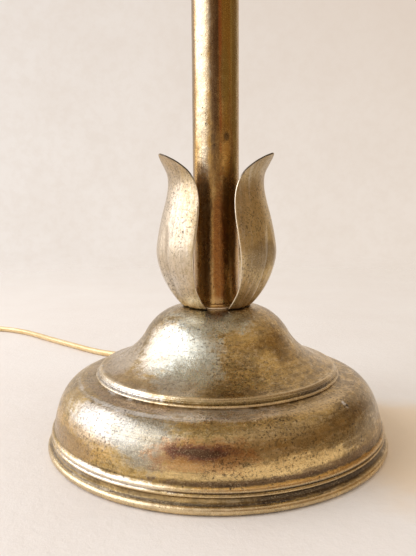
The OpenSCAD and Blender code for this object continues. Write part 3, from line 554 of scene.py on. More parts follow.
plain("cast_iron", (0.045, 0.042, 0.04), [((0.13, 0.055, 0.025), (45, 6, 0.65), 0.55, 0.72, 1)], (260, 8, 0.7),
      (0.6, 0.85), 0.0004, Metallic=0.5)
plain("bulb_glass", (0.97, 0.96, 0.93), [((0.93, 0.91, 0.86), (40, 4, 0.5), 0.4, 0.7, 1)], (500, 4),
      (0.32, 0.36), 0.000004, Transmission_Weight=0.25, IOR=1.45, Subsurface_Weight=0.25,
      Subsurface_Radius=(0.004, 0.004, 0.004))

# Vulcanised fibre and pressed paper board, with faint long fibres
plain("fibre", (0.20, 0.13, 0.08), [
    ((0.12, 0.078, 0.048), None, 0.35, 0.7, 1), ((0.25, 0.1625, 0.1), (60,), 0.5, 0.75, 0.4),
], ((160, 900, 300), 6, 0.7), (0.6, 0.8), 0.00008)

# Pressed wool: short fibres in every direction, with a soft sheen
plain("felt", (0.045, 0.085, 0.05), [
    ((0.11, 0.18, 0.11), None, 0.3, 0.7, 1),
    ((0.05, 0.08, 0.05), (35, 4), 0.4, 0.7, 0.3),
    ((0.22, 0.28, 0.2), ((1500, 300, 900), 3, 0.7, 2.0), 0.66, 0.76, 0.5),
], (1400, 4, 0.8, 1.5), 0.95, 0.0005, Sheen_Weight=0.5, Sheen_Roughness=0.5)

# Woven trimming: close ribs across the band with darker gaps, and a silky sheen
plain("trim", (0.20, 0.13, 0.05), [
    ((0.62, 0.47, 0.24), "weave", 0.15, 0.8, 1), ((0.80, 0.68, 0.44), None, 0.4, 0.8, 0.35),
    ((0.42, 0.30, 0.14), (60,), 0.5, 0.75, 0.35),
], (2600, 3, 0.7), (0.5, 0.7), 0.00012, Sheen_Weight=0.35)


# Meshes

SHARP = 42  # degrees
HOLLOW_REACH, HOLLOW_GAIN = 1.6, 1.1


def shape(name, points, faces):
    """A new object from points in metres."""
    mesh = bpy.data.meshes.new(name)
    mesh.from_pydata(points, [], faces)
    obj = bpy.data.objects.new(name, mesh)
    scene.collection.objects.link(obj)
    return obj


def piece(name, points, faces, slot, body="lamp", nodes=(), sharp=SHARP, marks=None):
    """A piece from points in millimetres, with its finish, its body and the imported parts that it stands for.
    marks are values at its points, by name. Edges bent by more than sharp degrees stay hard."""
    obj = shape(name, [tuple(c*MM for c in p) for p in points], faces)
    mesh = obj.data
    for key, values in (marks or {}).items():
        mesh.attributes.new(key, "FLOAT", "POINT").data.foreach_set("value", values)
    mesh.validate()
    mesh.update()
    mesh.shade_smooth()
    mesh.set_sharp_from_angle(angle=math.radians(sharp))
    mesh.materials.append(MATERIALS[slot])
    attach(obj, body)
    if nodes:
        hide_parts(*nodes)
    return obj


def skin(rings, sides, first=0, closed=False, caps=True, flip=False):
    """Faces between rings of points that follow one another. A line that isn't closed gets its two ends."""
    faces = []
    for i in range(rings if closed else rings - 1):
        o, n = first + i*sides, first + (i + 1) % rings*sides
        faces += [[o + k, o + (k + 1) % sides, n + (k + 1) % sides, n + k] for k in range(sides)]
    if caps and not closed:
        last = first + (rings - 1)*sides
        faces += [list(range(first, first + sides))[::-1], list(range(last, last + sides))]
    return [face[::-1] for face in faces] if flip else faces


def area(outline):
    """Twice an outline's area, above 0 where it runs to the left round its inside."""
    return sum(a[0]*b[1] - b[0]*a[1] for a, b in zip(outline, outline[1:] + outline[:1]))


def walked(p, i, step, reach):
    """The place on a closed outline that lies reach along it from point i, ahead or back."""
    here = p[i]
    while True:
        i += step
        there = p[i % len(p)]
        gap = (there - here).length
        if gap >= reach:
            return here + (there - here)*(reach/gap)
        reach -= gap
        here = there


def hollows(outline):
    """How hollow a closed outline is at each point: 0 on a ridge, 0.5 where it is flat, 1 in a groove."""
    p = [Vector(q) for q in outline]
    facing = 1 if area(p) > 0 else -1
    values = []
    for i, here in enumerate(p):
        back, ahead = (walked(p, i, step, HOLLOW_REACH) for step in (-1, 1))
        along = ahead - back
        out = Vector((along.y, -along.x)).normalized()*facing
        bend = ((back + ahead)/2 - here).dot(out)
        values.append(0.5 + max(-0.5, min(0.5, HOLLOW_GAIN*bend)))
    return values


def lathe(name, outline, slot, body="lamp", nodes=(), turns=96, place=None, swell=None, sharp=SHARP):
    """A closed outline of (radius, height) turned round the axis. swell(angle, r, z) adds to the radius."""
    outline = [q for i, q in enumerate(outline) if (Vector(q) - Vector(outline[i - 1])).length > 1e-5]
    points, marks, runs, rings = [], [], [], []
    run, last = 0.0, Vector(outline[0])
    for (r, z), hollow in zip(outline, hollows(outline)):
        here = Vector((r, z))
        run += (here - last).length
        last = here
        first = len(points)
        if r < 1e-4:
            rings.append([first]*turns)
            points.append(Vector((0, 0, z)))
        else:
            rings.append(list(range(first, first + turns)))
            for k in range(turns):
                a = TAU*k/turns
                grown = r + (swell(a, r, z) if swell else 0)
                points.append(turned(grown, a, z))
        marks += [hollow]*(len(points) - first)
        runs += [run]*(len(points) - first)
    faces = []
    outward = area(outline) > 0
    for here, there in zip(rings, rings[1:] + rings[:1]):
        if here[0] == here[1] and there[0] == there[1]:
            continue
        for k in range(turns):
            n = (k + 1) % turns
            face = list(dict.fromkeys([here[k], here[n], there[n], there[k]]))
            faces.append(face if outward else face[::-1])
    if place:
        points = [place @ p for p in points]
    return piece(name, points, faces, slot, body, nodes, sharp, {"hollow": marks, "run": runs})


def sweep(name, line, section, slot, nodes=(), level=(0, 0, 1), closed=False):
    """A section of (side, up) points carried along a line, its up turned to level. Its texture coordinates are
    the run and the turn."""
    line = [Vector(p) for p in line]
    count, sides = len(line), len(section)
    points, runs, run = [], [], 0.0
    for i, p in enumerate(line):
        near, far = (i - 1, (i + 1) % count) if closed else (max(i - 1, 0), min(i + 1, count - 1))
        way = (line[far] - line[near]).normalized()
        side = way.cross(Vector(level)).normalized()
        up = side.cross(way)
        if i:
            run += (p - line[i - 1]).length
        points += [p + side*s + up*u for s, u in section]
        runs += [run]*sides
    obj = piece(name, points, skin(count, sides, closed=closed), slot, nodes=nodes)
    layer = obj.data.uv_layers.new(name="run")
    for poly in obj.data.polygons:
        corners = [obj.data.loops[corner].vertex_index for corner in poly.loop_indices]
        seam = len(corners) == 4 and any(v % sides == sides - 1 for v in corners)
        for corner, v in zip(poly.loop_indices, corners):
            turn = 1 if seam and v % sides == 0 else v % sides/sides
            layer.data[corner].uv = (runs[v]*MM, turn)
    return obj


# Cords first: the free cord's route over the table, its coil and its tail, as in the part's drawing

EXIT_Z = 17.6
RELIEF_Y = 92.2
EXIT_Y = RELIEF_Y + RELIEF_L
LAY_Z = 2.6
ROUTE = [
    (0, EXIT_Y, EXIT_Z), (0, 122.2, EXIT_Z), (0, 129, 16.7), (-1, 136, 14.3), (-4, 143, 10.8),
    (-9, 149, 7.3), (-17, 154, 4.4), (-28, 157.5, 2.9), (-40, 160, LAY_Z), (-54, 162.5, LAY_Z),
    (-68, 166, LAY_Z), (-83, 171, LAY_Z), (-98, 179, LAY_Z), (-112, 190, LAY_Z),
    (-126, 203, LAY_Z), (-141, 217, LAY_Z), (-157, 232, LAY_Z), (-174, 249, LAY_Z),
    (-191, 264, LAY_Z), (-208, 275, LAY_Z), (-223, 281.5, LAY_Z), (-236, 285, LAY_Z),
    (-249, 286.5, 3), (-261, 287, 3.2), (-272, 287, 3.2),
]
COIL_START, COIL_LAYER_TURNS, COIL_CLIMB = 90, 3.5, 0.5
COIL_R, COIL_PITCH, COIL_DIP = 39.6, CORD_D + 0.5, 0.9
COIL_Z = ROUTE[-1][2]
COIL_INNER_R = COIL_R - COIL_PITCH*COIL_LAYER_TURNS
COIL_TURNS = 2*COIL_LAYER_TURNS + COIL_CLIMB
COIL_X, COIL_Y = ROUTE[-1][0] - CORD_D, ROUTE[-1][1] - COIL_R
TAIL = [(-263.5, 206, 8.4), (-256.5, 201.5, 7.8), (-252, 194, 7.1), (-250, 185, 6.5), (-250, 176, 6.5)]


def coil_radius(t):
    if t < COIL_LAYER_TURNS:
        return COIL_R - COIL_PITCH*t
    if t < COIL_LAYER_TURNS + COIL_CLIMB:
        return COIL_INNER_R - COIL_DIP*math.sin(math.pi*(t - COIL_LAYER_TURNS)/COIL_CLIMB)
    return COIL_INNER_R + COIL_PITCH*(t - COIL_LAYER_TURNS - COIL_CLIMB)


def coil_point(t):
    a = math.radians(COIL_START) + TAU*t
    c = min(max((t - COIL_LAYER_TURNS)/COIL_CLIMB, 0), 1)
    r = coil_radius(t)
    return Vector((COIL_X + r*math.cos(a), COIL_Y + r*math.sin(a), COIL_Z + COIL_PITCH*c*c*(3 - 2*c)))


def coil_way(t):
    a = math.radians(COIL_START) + TAU*t
    return Vector((-math.sin(a), math.cos(a), 0))


coil_last = coil_point(COIL_TURNS) + CORD_D*coil_way(COIL_TURNS)
coil_steps = int(COIL_TURNS*48)
cord_line = (
    catmull(ROUTE, 4)[:-1]
    + [coil_point(COIL_TURNS*i/coil_steps) for i in range(coil_steps + 1)]
    + catmull([coil_last, coil_last + 3*coil_way(COIL_TURNS), *TAIL], 4)
)
cord = sweep("gold_cord", cord_line, circle(CORD_D/2, 16), "cord_sheath",
             nodes=("cord_lead", "cord_coil", "cord_tail"))


RIB, RIB_PITCH = 0.35, 2.6


def plug():
    """A moulded two-blade plug: a flared grip with ribs along its sides and a collar for the cord."""
    x, y, z = TAIL[-1]
    long, wide, high, sides = 32, 25, 13, 40
    stations = [
        (0, 0.27, 0.5), (1, 0.33, 0.58), (8, 0.35, 0.62), (11, 0.5, 0.68), (14, 0.72, 0.76), (18, 0.84, 0.85),
        (24, 0.94, 0.95), (28, 1, 1), (30.6, 1, 1), (31.6, 0.97, 0.96), (long, 0.93, 0.9),
    ]
    rows = catmull(stations, 12)
    points = []
    for far, w, h in rows:
        power = 0.55 + 0.45*max(0, 12 - far)/12
        for cx, cy in circle(1, sides):
            sx = math.copysign(abs(cx)**power, cx)*wide*w/2
            sy = math.copysign(abs(cy)**power, cy)*high*h/2
            rib = 0
            if 14 < far < 28:
                rib = RIB*max(0, math.cos(TAU*far/RIB_PITCH))*max(0, (abs(cx) - 0.6)/0.4)
            points.append(Vector((x + sx - math.copysign(rib, sx), y - far, z + sy)))
    return piece("plug_grip", points, skin(len(rows), sides, flip=True), "relief", nodes=("plug_body",))


def strain_relief():
    """The tapered, ribbed sleeve at the back of the foot, its flange against the wall."""
    bore = CORD_D/2 + 0.05
    outline = [(bore, -6), (3.85, -6), (3.85, 0), (4.8, 0), (4.8, 1.2), (4.3, 1.7)]
    ribs, first, last = 7, 2.4, RELIEF_L - 2.4
    pitch = (last - first)/ribs
    for i in range(ribs):
        z, r = first + i*pitch, 4.3 - 1.1*i/ribs
        outline += [(r, z), (r - 0.1, z + 0.62*pitch), (r - 0.75, z + 0.7*pitch), (r - 0.75, z + 0.92*pitch)]
    outline += [(3.2, last), (3.05, RELIEF_L - 0.4), (2.9, RELIEF_L), (bore, RELIEF_L)]
    place = Matrix.Translation((0, RELIEF_Y, EXIT_Z)) @ Matrix.Rotation(-math.pi/2, 4, "X")
    return lathe("cord_sleeve", filleted(outline, 0.25), "relief", nodes=("strain_relief",), turns=48,
                 place=place)


def cord_tie():
    """A paper strap round one side of the coil, pulled in at its corners."""
    room, corner, crease = CORD_D/2 + 0.65, 2.1, 0.25
    left, right = COIL_INNER_R - COIL_DIP - room + corner, COIL_R + room - corner
    low, high = COIL_Z - CORD_D/2 - 0.37 + crease, COIL_Z + COIL_PITCH + room - corner
    loop = []
    for cx, cz, r, start in ((right, high, corner, 0), (left, high, corner, 90), (left, low, crease, 180),
                             (right, low, crease, 270)):
        loop += arc(cx, cz, r, start, start + 90, 6)
    line = [Vector((COIL_X - x, COIL_Y, z)) for x, z in loop]
    strap = [(-0.2, -2), (0.2, -2), (0.2, 2), (-0.2, 2)]
    return sweep("cord_strap", line, strap, "tie_paper", nodes=("cord_tie",), level=(0, 1, 0), closed=True)


plug_grip = plug()
cord_sleeve = strain_relief()
cord_strap = cord_tie()


# Foot

RIM_BEAD = 1.9
RIDGE = (
    (2.25, 7.85), (1.98, 8.2), (1.95, 8.6), (2.15, 9.05), (2.6, 9.45), (2.3, 9.8), (2.2, 10.3),
    (2.35, 11), (2.75, 11.6), (3.2, 12),
)
STEP = ((1.35, -2.4), (1.42, -2), (1.3, -1.62), (1.12, -1.5), (1.08, -1.3), (0.98, -0.95), (0.72, -0.72))
NICK, NICK_R, NICK_DEPTH = Vector((62.0, -52.0, 35.0)), 1.5, 0.45


def spun(a, r, z):
    """Slight hand-spun waves, and one nick on the shoulder at the right."""
    p = turned(r, a, z)
    wave = 0.10*noise.noise(p/34) + 0.05*noise.noise(p/13)
    return wave - NICK_DEPTH*max(0, 1 - ((p - NICK).length/NICK_R)**2)


def foot():
    """The spun foot: rolled rim, cove, ridge, wall, ledge, raised step with its bead, flare and dome."""
    rim = arc(RIM_R - RIM_BEAD, 0.3 + RIM_BEAD, RIM_BEAD, -90, 80, 16)
    cove = bez((RIM_R - 2.1, 4.5), (RIM_R - 2.9, 5), (RIM_R - 3.1, 6.3), (RIM_R - 2.8, 7.3), 12)
    ridge = catmull([(RIM_R - a, b) for a, b in RIDGE], 3)
    wall = bez(
        (RIM_R - 3.7, 12.4), (RIM_R - 4.9, 21), (RIM_R - 7.9, SHOULDER_Z - 3.4), (SHOULDER_R, SHOULDER_Z), 44
    )
    ledge = bez(
        (SHOULDER_R - 0.4, SHOULDER_Z + 0.1), (SHOULDER_R - 0.27*LEDGE, SHOULDER_Z + 0.6),
        (SHOULDER_R - 0.5*LEDGE, SHOULDER_Z + 0.75), (CREST_R + 3.1, SHOULDER_Z + 1.35), 12
    )
    lip = arc(CREST_R + 1.9, CREST_Z - 3.45, 0.75, -50, 75, 9)
    step = catmull([(CREST_R + a, CREST_Z + b) for a, b in STEP], 3)
    crest = arc(CREST_R - 0.35, CREST_Z - 0.45, 0.8, 0, 90, 8)
    flare = bez(
        (CREST_R - 1, CREST_Z + 0.5), (CREST_R - 10.8, CREST_Z + 2.6), (DOME_R + 4, TURN_Z - 7.5),
        (DOME_R, TURN_Z), 30
    )
    dome = bez(
        (DOME_R, TURN_Z), (DOME_R - 3.6, TURN_Z + 6.5), (DOME_R - 11.4, FOOT_H - 0.1), (TOP_R, FOOT_H), 24
    )
    outer = rim + cove + ridge + wall + ledge + lip + step + crest + flare + dome + [(PIPE_HOLE_R, FOOT_H)]
    inner = (
        [(PIPE_HOLE_R, FOOT_H - SHEET)] + inset(dome, SHEET)[::-1] + inset(flare, SHEET)[::-1]
        + [(CREST_R + 0.2, CREST_Z - 4.2)] + inset(ledge, SHEET)[::-1] + inset(wall, SHEET)[::-1]
        + [(RIM_R - 4.9, 9), (RIM_R - 4.3, 5), (RIM_R - 3.3, 3.4)]
    )
    lathe("foot_spinning", outer + inner, "foot_brass", nodes=("foot_shell",), turns=288, swell=spun)


# Leaf crown: reach, height and half-angle of a leaf at places along its middle line, and its pressed fold

LEAF_STATIONS = [Vector(s) for s in (
    (0.10, 0.00, 41), (0.35, 0.05, 38.5), (0.63, 0.13, 36), (0.86, 0.23, 36.5), (1.00, 0.35, 38),
    (0.94, 0.47, 39.5), (0.80, 0.60, 41), (0.65, 0.71, 40), (0.57, 0.80, 36), (0.60, 0.88, 28.5),
    (0.76, 0.94, 18), (0.95, 0.98, 8), (1.09, 1.00, 0.9),
)]
FOLD_PEAK, FOLD_END, FOLD_ANGLE, FOLD_DEPTH = 2.4, 5.7, 10, 1.7*CREASE
LEAF_ROWS, LEAF_COLUMNS = 66, 46
LEAF_ROOT_R = LEAF_BASE_R - 3


def fold_share(u):
    """How much of the fold's full depth a place along the leaf has."""
    if u < FOLD_PEAK:
        return 0.4 + 0.6*u/FOLD_PEAK
    return max(0, 1 - (u - FOLD_PEAK)/(FOLD_END - FOLD_PEAK))**0.9


def leaf_middle(u, side):
    """A point of the leaf's middle surface, with the fold pressed into its lower half."""
    reach, rise, half = spline(LEAF_STATIONS, u)
    a = side*half
    fold = FOLD_DEPTH*fold_share(u)*max(0, 1 - abs(a)/FOLD_ANGLE)**1.4
    r = LEAF_BASE_R + (LEAF_R - LEAF_BASE_R)*reach - fold
    return turned(r, math.radians(a), FOOT_H + LEAF_T/2 + (LEAF_H - LEAF_T/2)*rise)


def leaf(points, faces, marks, darkened, turn):
    """Adds one leaf, turned round the axis, as a closed shell with round edges."""
    top = len(LEAF_STATIONS) - 1
    spin = Matrix.Rotation(math.radians(turn), 4, "Z")
    first = len(points)
    eps = 1e-3
    across = steps(-1, 1, LEAF_COLUMNS)
    for i in range(-1, LEAF_ROWS + 1):
        u = top*max(i, 0)/LEAF_ROWS
        front, back = [], []
        for c in across:
            p = leaf_middle(u, c)
            du = leaf_middle(min(u + eps, top), c) - leaf_middle(max(u - eps, 0), c)
            dc = leaf_middle(u, min(c + eps, 1)) - leaf_middle(u, max(c - eps, -1))
            n = dc.cross(du).normalized()
            if n.x*p.x + n.y*p.y < 0:
                n = -n
            if i < 0:
                inward = LEAF_ROOT_R/math.hypot(p.x, p.y)
                p, n = Vector((p.x*inward, p.y*inward, FOOT_H + LEAF_T/2)), Vector((0, 0, -0.6))
            front.append(p + n*(LEAF_T/2))
            back.append(p - n*(LEAF_T/2))
        sides = []
        for a, b, near in ((front[-1], back[-1], front[-2]), (back[0], front[0], front[1])):
            out = ((a + b)/2 - near).normalized()*LEAF_T
            sides.append([a.lerp(b, share) + out*by for share, by in ((0.25, 0.22), (0.5, 0.3), (0.75, 0.22))])
        points += [spin @ p for p in front + sides[0] + back[::-1] + sides[1]]
        half = spline(LEAF_STATIONS, u)[2]
        aside = [abs(c)*half/FOLD_ANGLE for c in across]
        fold = [fold_share(u)*(0.32*max(0, 1 - 2.2*s) - 0.2*max(0, 1 - 3*abs(s - 0.8))) for s in aside]
        edge = [0.5 + f for f in fold] + [0.1]*3 + [0.62]*len(back) + [0.1]*3
        edge[0] = edge[LEAF_COLUMNS] = edge[LEAF_COLUMNS + 4] = edge[-4] = 0.3
        marks += edge
        # Darker at the roots, where the leaves leave the disc, and along the edges near the tips
        tip, root = max(min((u - 8)/0.8, 1), 0), max(0, 1 - u/0.35)
        darkened += [root if m > 0.32 else max(tip, root) for m in edge]
    faces += skin(LEAF_ROWS + 2, len(edge), first)


def leaf_crown():
    """Three leaves growing out of one disc."""
    points, faces, marks, darkened = [], [], [], []
    for i in range(3):
        leaf(points, faces, marks, darkened, 90 + 120*i)
    piece("lotus_leaves", points, faces, "leaf_brass", nodes=("leaf_crown",), sharp=60,
          marks={"hollow": marks, "root_and_tip_dark": darkened})
    disc = [
        (PIPE_HOLE_R, FOOT_H), (LEAF_BASE_R - 1, FOOT_H), (LEAF_BASE_R - 1, FOOT_H + LEAF_T),
        (PIPE_HOLE_R, FOOT_H + LEAF_T),
    ]
    lathe("leaf_disc", filleted(disc, 0.25), "leaf_brass")


# Stem

def stem():
    """The plain tube with its seat ring below and its spun cap above."""
    r, bore = TUBE_D/2, TUBE_D/2 - TUBE_WALL
    tube = [(bore, TUBE_Z)] + [(r, z) for z in steps(TUBE_Z, TUBE_TOP, 40)] + [(bore, TUBE_TOP)]
    lathe("brass_tube", filleted(tube, 0.3), "stem_brass", nodes=("stem_tube",), turns=128)
    spigot = bore - SEAT
    low = FOOT_H + LEAF_T
    ring = [
        (PIPE_HOLE_R, low), (r + 0.7, low), (r + 0.7, TUBE_Z), (spigot, TUBE_Z), (spigot, TUBE_Z + 4),
        (PIPE_HOLE_R, TUBE_Z + 4),
    ]
    lathe("tube_seat", filleted(ring, 0.3), "stem_brass", nodes=("seat_ring",))
    lip = r + 1.3
    cap = [(PIPE_HOLE_R, TUBE_TOP - 6), (spigot, TUBE_TOP - 6), (spigot, TUBE_TOP), (lip - 0.7, TUBE_TOP)]
    cap += arc(lip - 1, TUBE_TOP + 1, 1, -60, 90, 10)
    cap += bez((lip - 1.6, TUBE_TOP + 2.4), (lip - 4, TUBE_TOP + 3), (9, TUBE_TOP + 5), (8.5, SADDLE_Z - 2), 16)
    cap += [(9.5, SADDLE_Z - 1.4), (9.5, SADDLE_Z), (PIPE_HOLE_R, SADDLE_Z)]
    lathe("spun_cap", cap, "stem_brass", nodes=("tube_cap",))


# Lampholder: its cap is turned afresh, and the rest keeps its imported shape

def lampholder():
    r = SHELL_D/2
    lip, w = r + SEAT, 0.8
    cap = [(PIPE_HOLE_R, HUB_Z), (8.5, HUB_Z), (8.5, HUB_Z + 5)]
    cap += bez((8.7, HUB_Z + 6), (13, HUB_Z + 6.5), (lip + w, HUB_Z + 9), (lip + w, HUB_Z + 14.5), 18)
    cap += arc(lip + w, HUB_Z + 19, 0.5, -90, 90, 8)
    cap += [(lip, HUB_Z + 19.5), (lip, HUB_Z + 14.5)]
    cap += bez((lip, HUB_Z + 14), (lip, HUB_Z + 9.8), (13, HUB_Z + 7.6), (8.6, HUB_Z + 7), 12)
    cap += [(PIPE_HOLE_R, HUB_Z + 7)]
    lathe("holder_cap", cap, "fitting_brass", nodes=("socket_cap",))


# Harp

def harp():
    """Two bowed wires from the saddle's posts to the stud."""
    x, belly = SADDLE_W/2, HARP_W/2 - WIRE_D/2
    belly_z, top_z = SADDLE_Z + 0.46*HARP_H, HARP_TOP - 5.25
    leg_z, leg_top = SADDLE_Z + 16.5, SADDLE_Z + 36.5
    for sign, label in ((-1, "left"), (1, "right")):
        flat = [(x, leg_z), (x, (leg_z + leg_top)/2)]
        flat += bez((x, leg_top), (x, leg_top + 20), (belly, belly_z - 34), (belly, belly_z), 18)
        flat += bez((belly, belly_z), (belly, belly_z + 50), (belly - 10, top_z), (10, top_z), 26)[1:]
        flat += [(7.2, top_z)]
        line = [Vector((sign*a, 0, b)) for a, b in flat]
        nodes = ("harp",) if sign < 0 else ()
        sweep("harp_wire_" + label, line, circle(WIRE_D/2, 16), "fitting_brass", nodes, (0, 1, 0))
    z = HARP_TOP
    stud = [(0, z - 10.5), (6, z - 10.5), (7, z - 9.5), (7, z - 1), (6, z), (3.1, z)]
    stud += [(3.1, z + 11.4), (2.5, z + 12), (0, z + 12)]
    lathe("harp_top", filleted(stud, 0.4), "fitting_brass", nodes=("harp_stud",), turns=64)


# Shade

LAP_W, LAP_EDGE, LAP_T = 12, 0.7, 0.35
TRIM_OUT, TRIM_T, TRIM_EDGE = 0.15, 0.45, 1.1


def shade_r(z):
    return SHADE_BOTTOM_D/2 + (SHADE_TOP_D - SHADE_BOTTOM_D)/2*(z - SHADE_Z)/SHADE_H


def shade():
    """The parchment cone with a glued lap down its back, and its trimmings."""
    outer = [(shade_r(z), z) for z in steps(SHADE_Z, SHADE_TOP, 48)]
    inner = [(r - PARCHMENT, z) for r, z in outer[::-1]]

    def lap(a, r, z):
        """The paper's lap at the back, on its outer side, and the slight unevenness of a hand-made cone."""
        from_back = (a - math.pi/2)*r
        share = max(0, min(1, (LAP_W/2 - abs(from_back))/LAP_EDGE)) if r > shade_r(z) - PARCHMENT/2 else 0
        return LAP_T*share - 0.3 + 0.25*noise.noise(turned(r, a, z)/60)

    lathe("parchment_cone", outer + inner, "parchment", "shade", ("shade_cover",), 240, swell=lap, sharp=30)
    trimming("braid_low", SHADE_Z, "shade_trim_bottom")
    trimming("braid_top", SHADE_TOP - TRIM_H, "shade_trim_top")


def trimming(name, low, node):
    """A woven band between two twisted edge cords."""
    heights = steps(low + TRIM_EDGE, low + TRIM_H - TRIM_EDGE, 18)
    outline = [(shade_r(z) + TRIM_OUT + TRIM_T, z) for z in heights]
    outline += [(shade_r(z) + TRIM_OUT, z) for z in heights[::-1]]
    count = 2*round(shade_r(low + TRIM_H/2)*math.pi/1.7)

    def ribs(a, r, z):
        if r < shade_r(z) + TRIM_OUT + 0.3:
            return 0
        row = (z - low)/TRIM_H*5
        return 0.16*math.cos(a*count + math.pi*math.floor(row)) + 0.08*math.cos(TAU*row)

    band = lathe(name, outline, "trim", "shade", (node,), turns=4*count, swell=ribs, sharp=80)
    weave = []
    for v in band.data.vertices:
        x, y, z = v.co/MM
        weave.append((math.hypot(x, y) - shade_r(z) - TRIM_OUT - 0.2)/0.5)
    band.data.attributes.new("weave", "FLOAT", "POINT").data.foreach_set("value", weave)
    for k, z in enumerate((low + 0.75, low + TRIM_H - 0.75)):
        twisted(f"{name}_cord_{k}", z)


def twisted(name, z):
    """A thin two-ply cord round the band's edge."""
    middle_r = shade_r(z) + TRIM_OUT + 0.4
    turns, plies, sides = round(TAU*middle_r/0.4/4)*4, round(TAU*middle_r/2.4), 10
    points, marks = [], []
    for i in range(turns):
        a = TAU*i/turns
        for k in range(sides):
            b = TAU*k/sides
            bulge = 0.5 + 0.5*math.cos(2*b - plies*a)
            r = 0.28 + 0.12*bulge
            out = middle_r + r*math.cos(b)
            points.append(turned(out, a, z + 1.5*r*math.sin(b)))
            marks.append(bulge)
    faces = skin(turns, sides, closed=True, flip=True)
    piece(name, points, faces, "trim", "shade", sharp=80, marks={"weave": marks})


# Finial and bulb

def finial():
    z = HUB_SEAT + HUB_T + 0.3
    bore, bore_top, ball_z = 3.4, HARP_TOP + 13, z + 16.5
    outline = [(bore, z), (7, z), (7.4, z + 0.6), (7.4, z + 2.2), (6.4, z + 3)]
    outline += bez((6, z + 3.4), (4.8, z + 5), (4.8, z + 6.6), (5.4, z + 8), 10)
    outline += arc(5.4, z + 9, 1, -60, 60, 8)
    outline += arc(0, ball_z, 8.5, -44, 66, 26)
    outline += bez((3, ball_z + 8.6), (2.2, ball_z + 9.6), (3.4, ball_z + 10.6), (2.6, ball_z + 12), 12)
    outline += [(1.4, ball_z + 13.2), (0, ball_z + 13.6), (0, bore_top), (bore, bore_top)]
    lathe("turned_finial", outline, "fitting_brass", "finial", ("finial",))


def bulb():
    r, tip = BULB_D/2, HUB_Z + 33
    top, cap_top = tip + BULB_L, HUB_Z + 15.5 + SHELL_H + 1.2
    neck = CAP_D/2 - 0.2
    side = bez((neck, cap_top), (neck + 1.5, cap_top + 17), (r, top - r - 26), (r, top - r), 32)
    outline = side + arc(0, top - r, r, 4, 90, 24)
    outline += [(0, top - 1)] + arc(0, top - r, r - 1, 4, 86, 20)[::-1] + inset(side, 1)[::-1]
    lathe("frosted_bulb", outline, "bulb_glass", "bulb", ("bulb_glass",), turns=128)


for make in (foot, leaf_crown, stem, lampholder, harp, shade, finial, bulb):
    make()


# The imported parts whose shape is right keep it, and take their finish

SLOTS = {row["node"]: row["material_slot"] for row in frame["record"]["subparts"]}
for name, obj in frame["nodes"].items():
    if not obj.hide_render:
        obj.data.materials.clear()
        obj.data.materials.append(MATERIALS[SLOTS[name]])


# Table, background and light

# Place, half-sizes in mm, tone and strength of a painted warm glow on the table to the right of the foot:
# painted light, standing for light thrown by the brass
GLOW_AT, GLOW_SIZE, GLOW_TONE, GLOW = (112, -22, 0), (62, 72, 30), (0.80, 0.61, 0.40), 0.75
TABLE_FADE = (0.24, 1.25)
FILL_TONE, FILL, AIM = (0.98, 0.915, 0.84), 0.88, Vector((0, 0, 0.08))
BACKDROP_LEFT, BACKDROP_RIGHT, BACKDROP_HIGH = (0.905, 0.825, 0.76), (0.83, 0.73, 0.64), (0.71, 0.59, 0.49)


def table():
    """A wide pale table top, with a warm glow painted beside the foot, that fades into the background far from
    the lamp.
    """
    rings, sides = 24, 96
    points = [(0, 0, 0)]
    for i in range(rings):
        points += [(x, y, 0) for x, y in circle(0.05*1.25**i, sides)]
    faces = [[0, 1 + k, 1 + (k + 1) % sides] for k in range(sides)]
    obj = shape("table_top", points, faces + skin(rings, sides, first=1, caps=False, flip=True))
    g = Graph("table_top")
    cloud = g.noise(9, 6, 0.6)
    fine = g.noise(160, 6, 0.7)
    colour = g.layers((0.82, 0.77, 0.72), ((0.79, 0.73, 0.675), cloud, 0.3, 0.7, 1),
                      ((0.85, 0.80, 0.755), fine, 0.4, 0.75, 0.3))
    # The painted glow beside the foot
    colour = g.mix(g.times(g.spot(GLOW_AT, GLOW_SIZE, cloud), GLOW), colour, GLOW_TONE)
    shader = g.principled(Base_Color=colour, Roughness=0.75, Normal=g.bump(fine, 0.0005))
    far = g.vector("LENGTH", g.place())["Value"]
    clear = g.node("BsdfTransparent")
    faded = g.node("MixShader", {0: g.level(far, *TABLE_FADE), 1: shader.outputs[0], 2: clear.outputs[0]})
    obj.data.materials.append(g.output(faded))


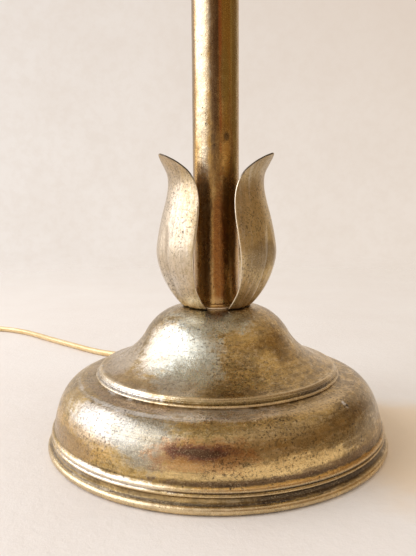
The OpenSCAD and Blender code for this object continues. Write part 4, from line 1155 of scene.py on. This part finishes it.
def world():
    """A pale mottled surround, brighter at the window's side; what the eye sees of it is the background."""
    scene.world = bpy.data.worlds.new("studio")
    g = Graph("studio", scene.world)
    way = g.node("TexCoord").outputs["Generated"]
    across, _, up = g.split(way)
    low = g.layers(BACKDROP_LEFT, (BACKDROP_RIGHT, across, -0.45, 0.5, 1))
    high = g.layers(tuple(0.93*c for c in BACKDROP_LEFT), (BACKDROP_HIGH, across, -0.45, 0.5, 1))
    tone = g.layers(
        low, (high, up, -0.08, 0.42, 0.9), (BACKDROP_HIGH, g.noise(14, 7, 0.62, at=way), 0.35, 0.65, 0.14),
        (BACKDROP_HIGH, g.noise(70, 6, 0.65, at=way), 0.4, 0.65, 0.14),
    )
    seen = g.node("Background", {0: tone})
    fill = g.node("Background", {0: FILL_TONE, 1: FILL})
    path = g.node("LightPath").outputs
    through = g.math("MAXIMUM", path["Is Camera Ray"], path["Is Glossy Ray"])
    through = g.math("MAXIMUM", through, path["Is Transmission Ray"])
    g.output(g.node("MixShader", {0: through, 1: fill.outputs[0], 2: seen.outputs[0]}), "OutputWorld")


def panel(name, azimuth, elevation, distance, wide, high, colour, power):
    """A soft rectangular light that faces the lamp's foot."""
    a, e = math.radians(azimuth), math.radians(elevation)
    out = Vector((math.sin(a)*math.cos(e), -math.cos(a)*math.cos(e), math.sin(e)))
    data = bpy.data.lights.new(name, "AREA")
    data.shape, data.size, data.size_y = "RECTANGLE", wide, high
    data.color, data.energy = colour, power
    obj = bpy.data.objects.new(name, data)
    scene.collection.objects.link(obj)
    obj.location = AIM + out*distance
    obj.rotation_mode = "QUATERNION"
    obj.rotation_quaternion = out.to_track_quat("Z", "Y")
    obj.visible_camera = False


def flag(name, from_az, to_az, low, high, radius, tone):
    """A dark card, as a photographer stands beside a camera: only reflections show it."""
    count, points = 16, []
    for azimuth in steps(from_az, to_az, count):
        a = math.radians(azimuth)
        for e in (low, high):
            points.append((radius*math.sin(a), -radius*math.cos(a), radius*math.tan(math.radians(e))))
    obj = shape(name, points, [[2*i, 2*i + 2, 2*i + 3, 2*i + 1] for i in range(count)])
    g = Graph(name)
    obj.data.materials.append(g.output(g.node("Emission", {"Color": tone})))
    obj.visible_camera = obj.visible_diffuse = obj.visible_shadow = obj.visible_transmission = False


table()
world()
panel("window", -84, 31, 1.35, 1.78, 1.14, (0.87, 0.90, 1.0), 17.2)
flag("flag_front", -14, 46, 8, 42, 1.15, (0.32, 0.205, 0.115))
flag("flag_right", 40, 128, 4, 40, 1.15, (0.30, 0.19, 0.095))
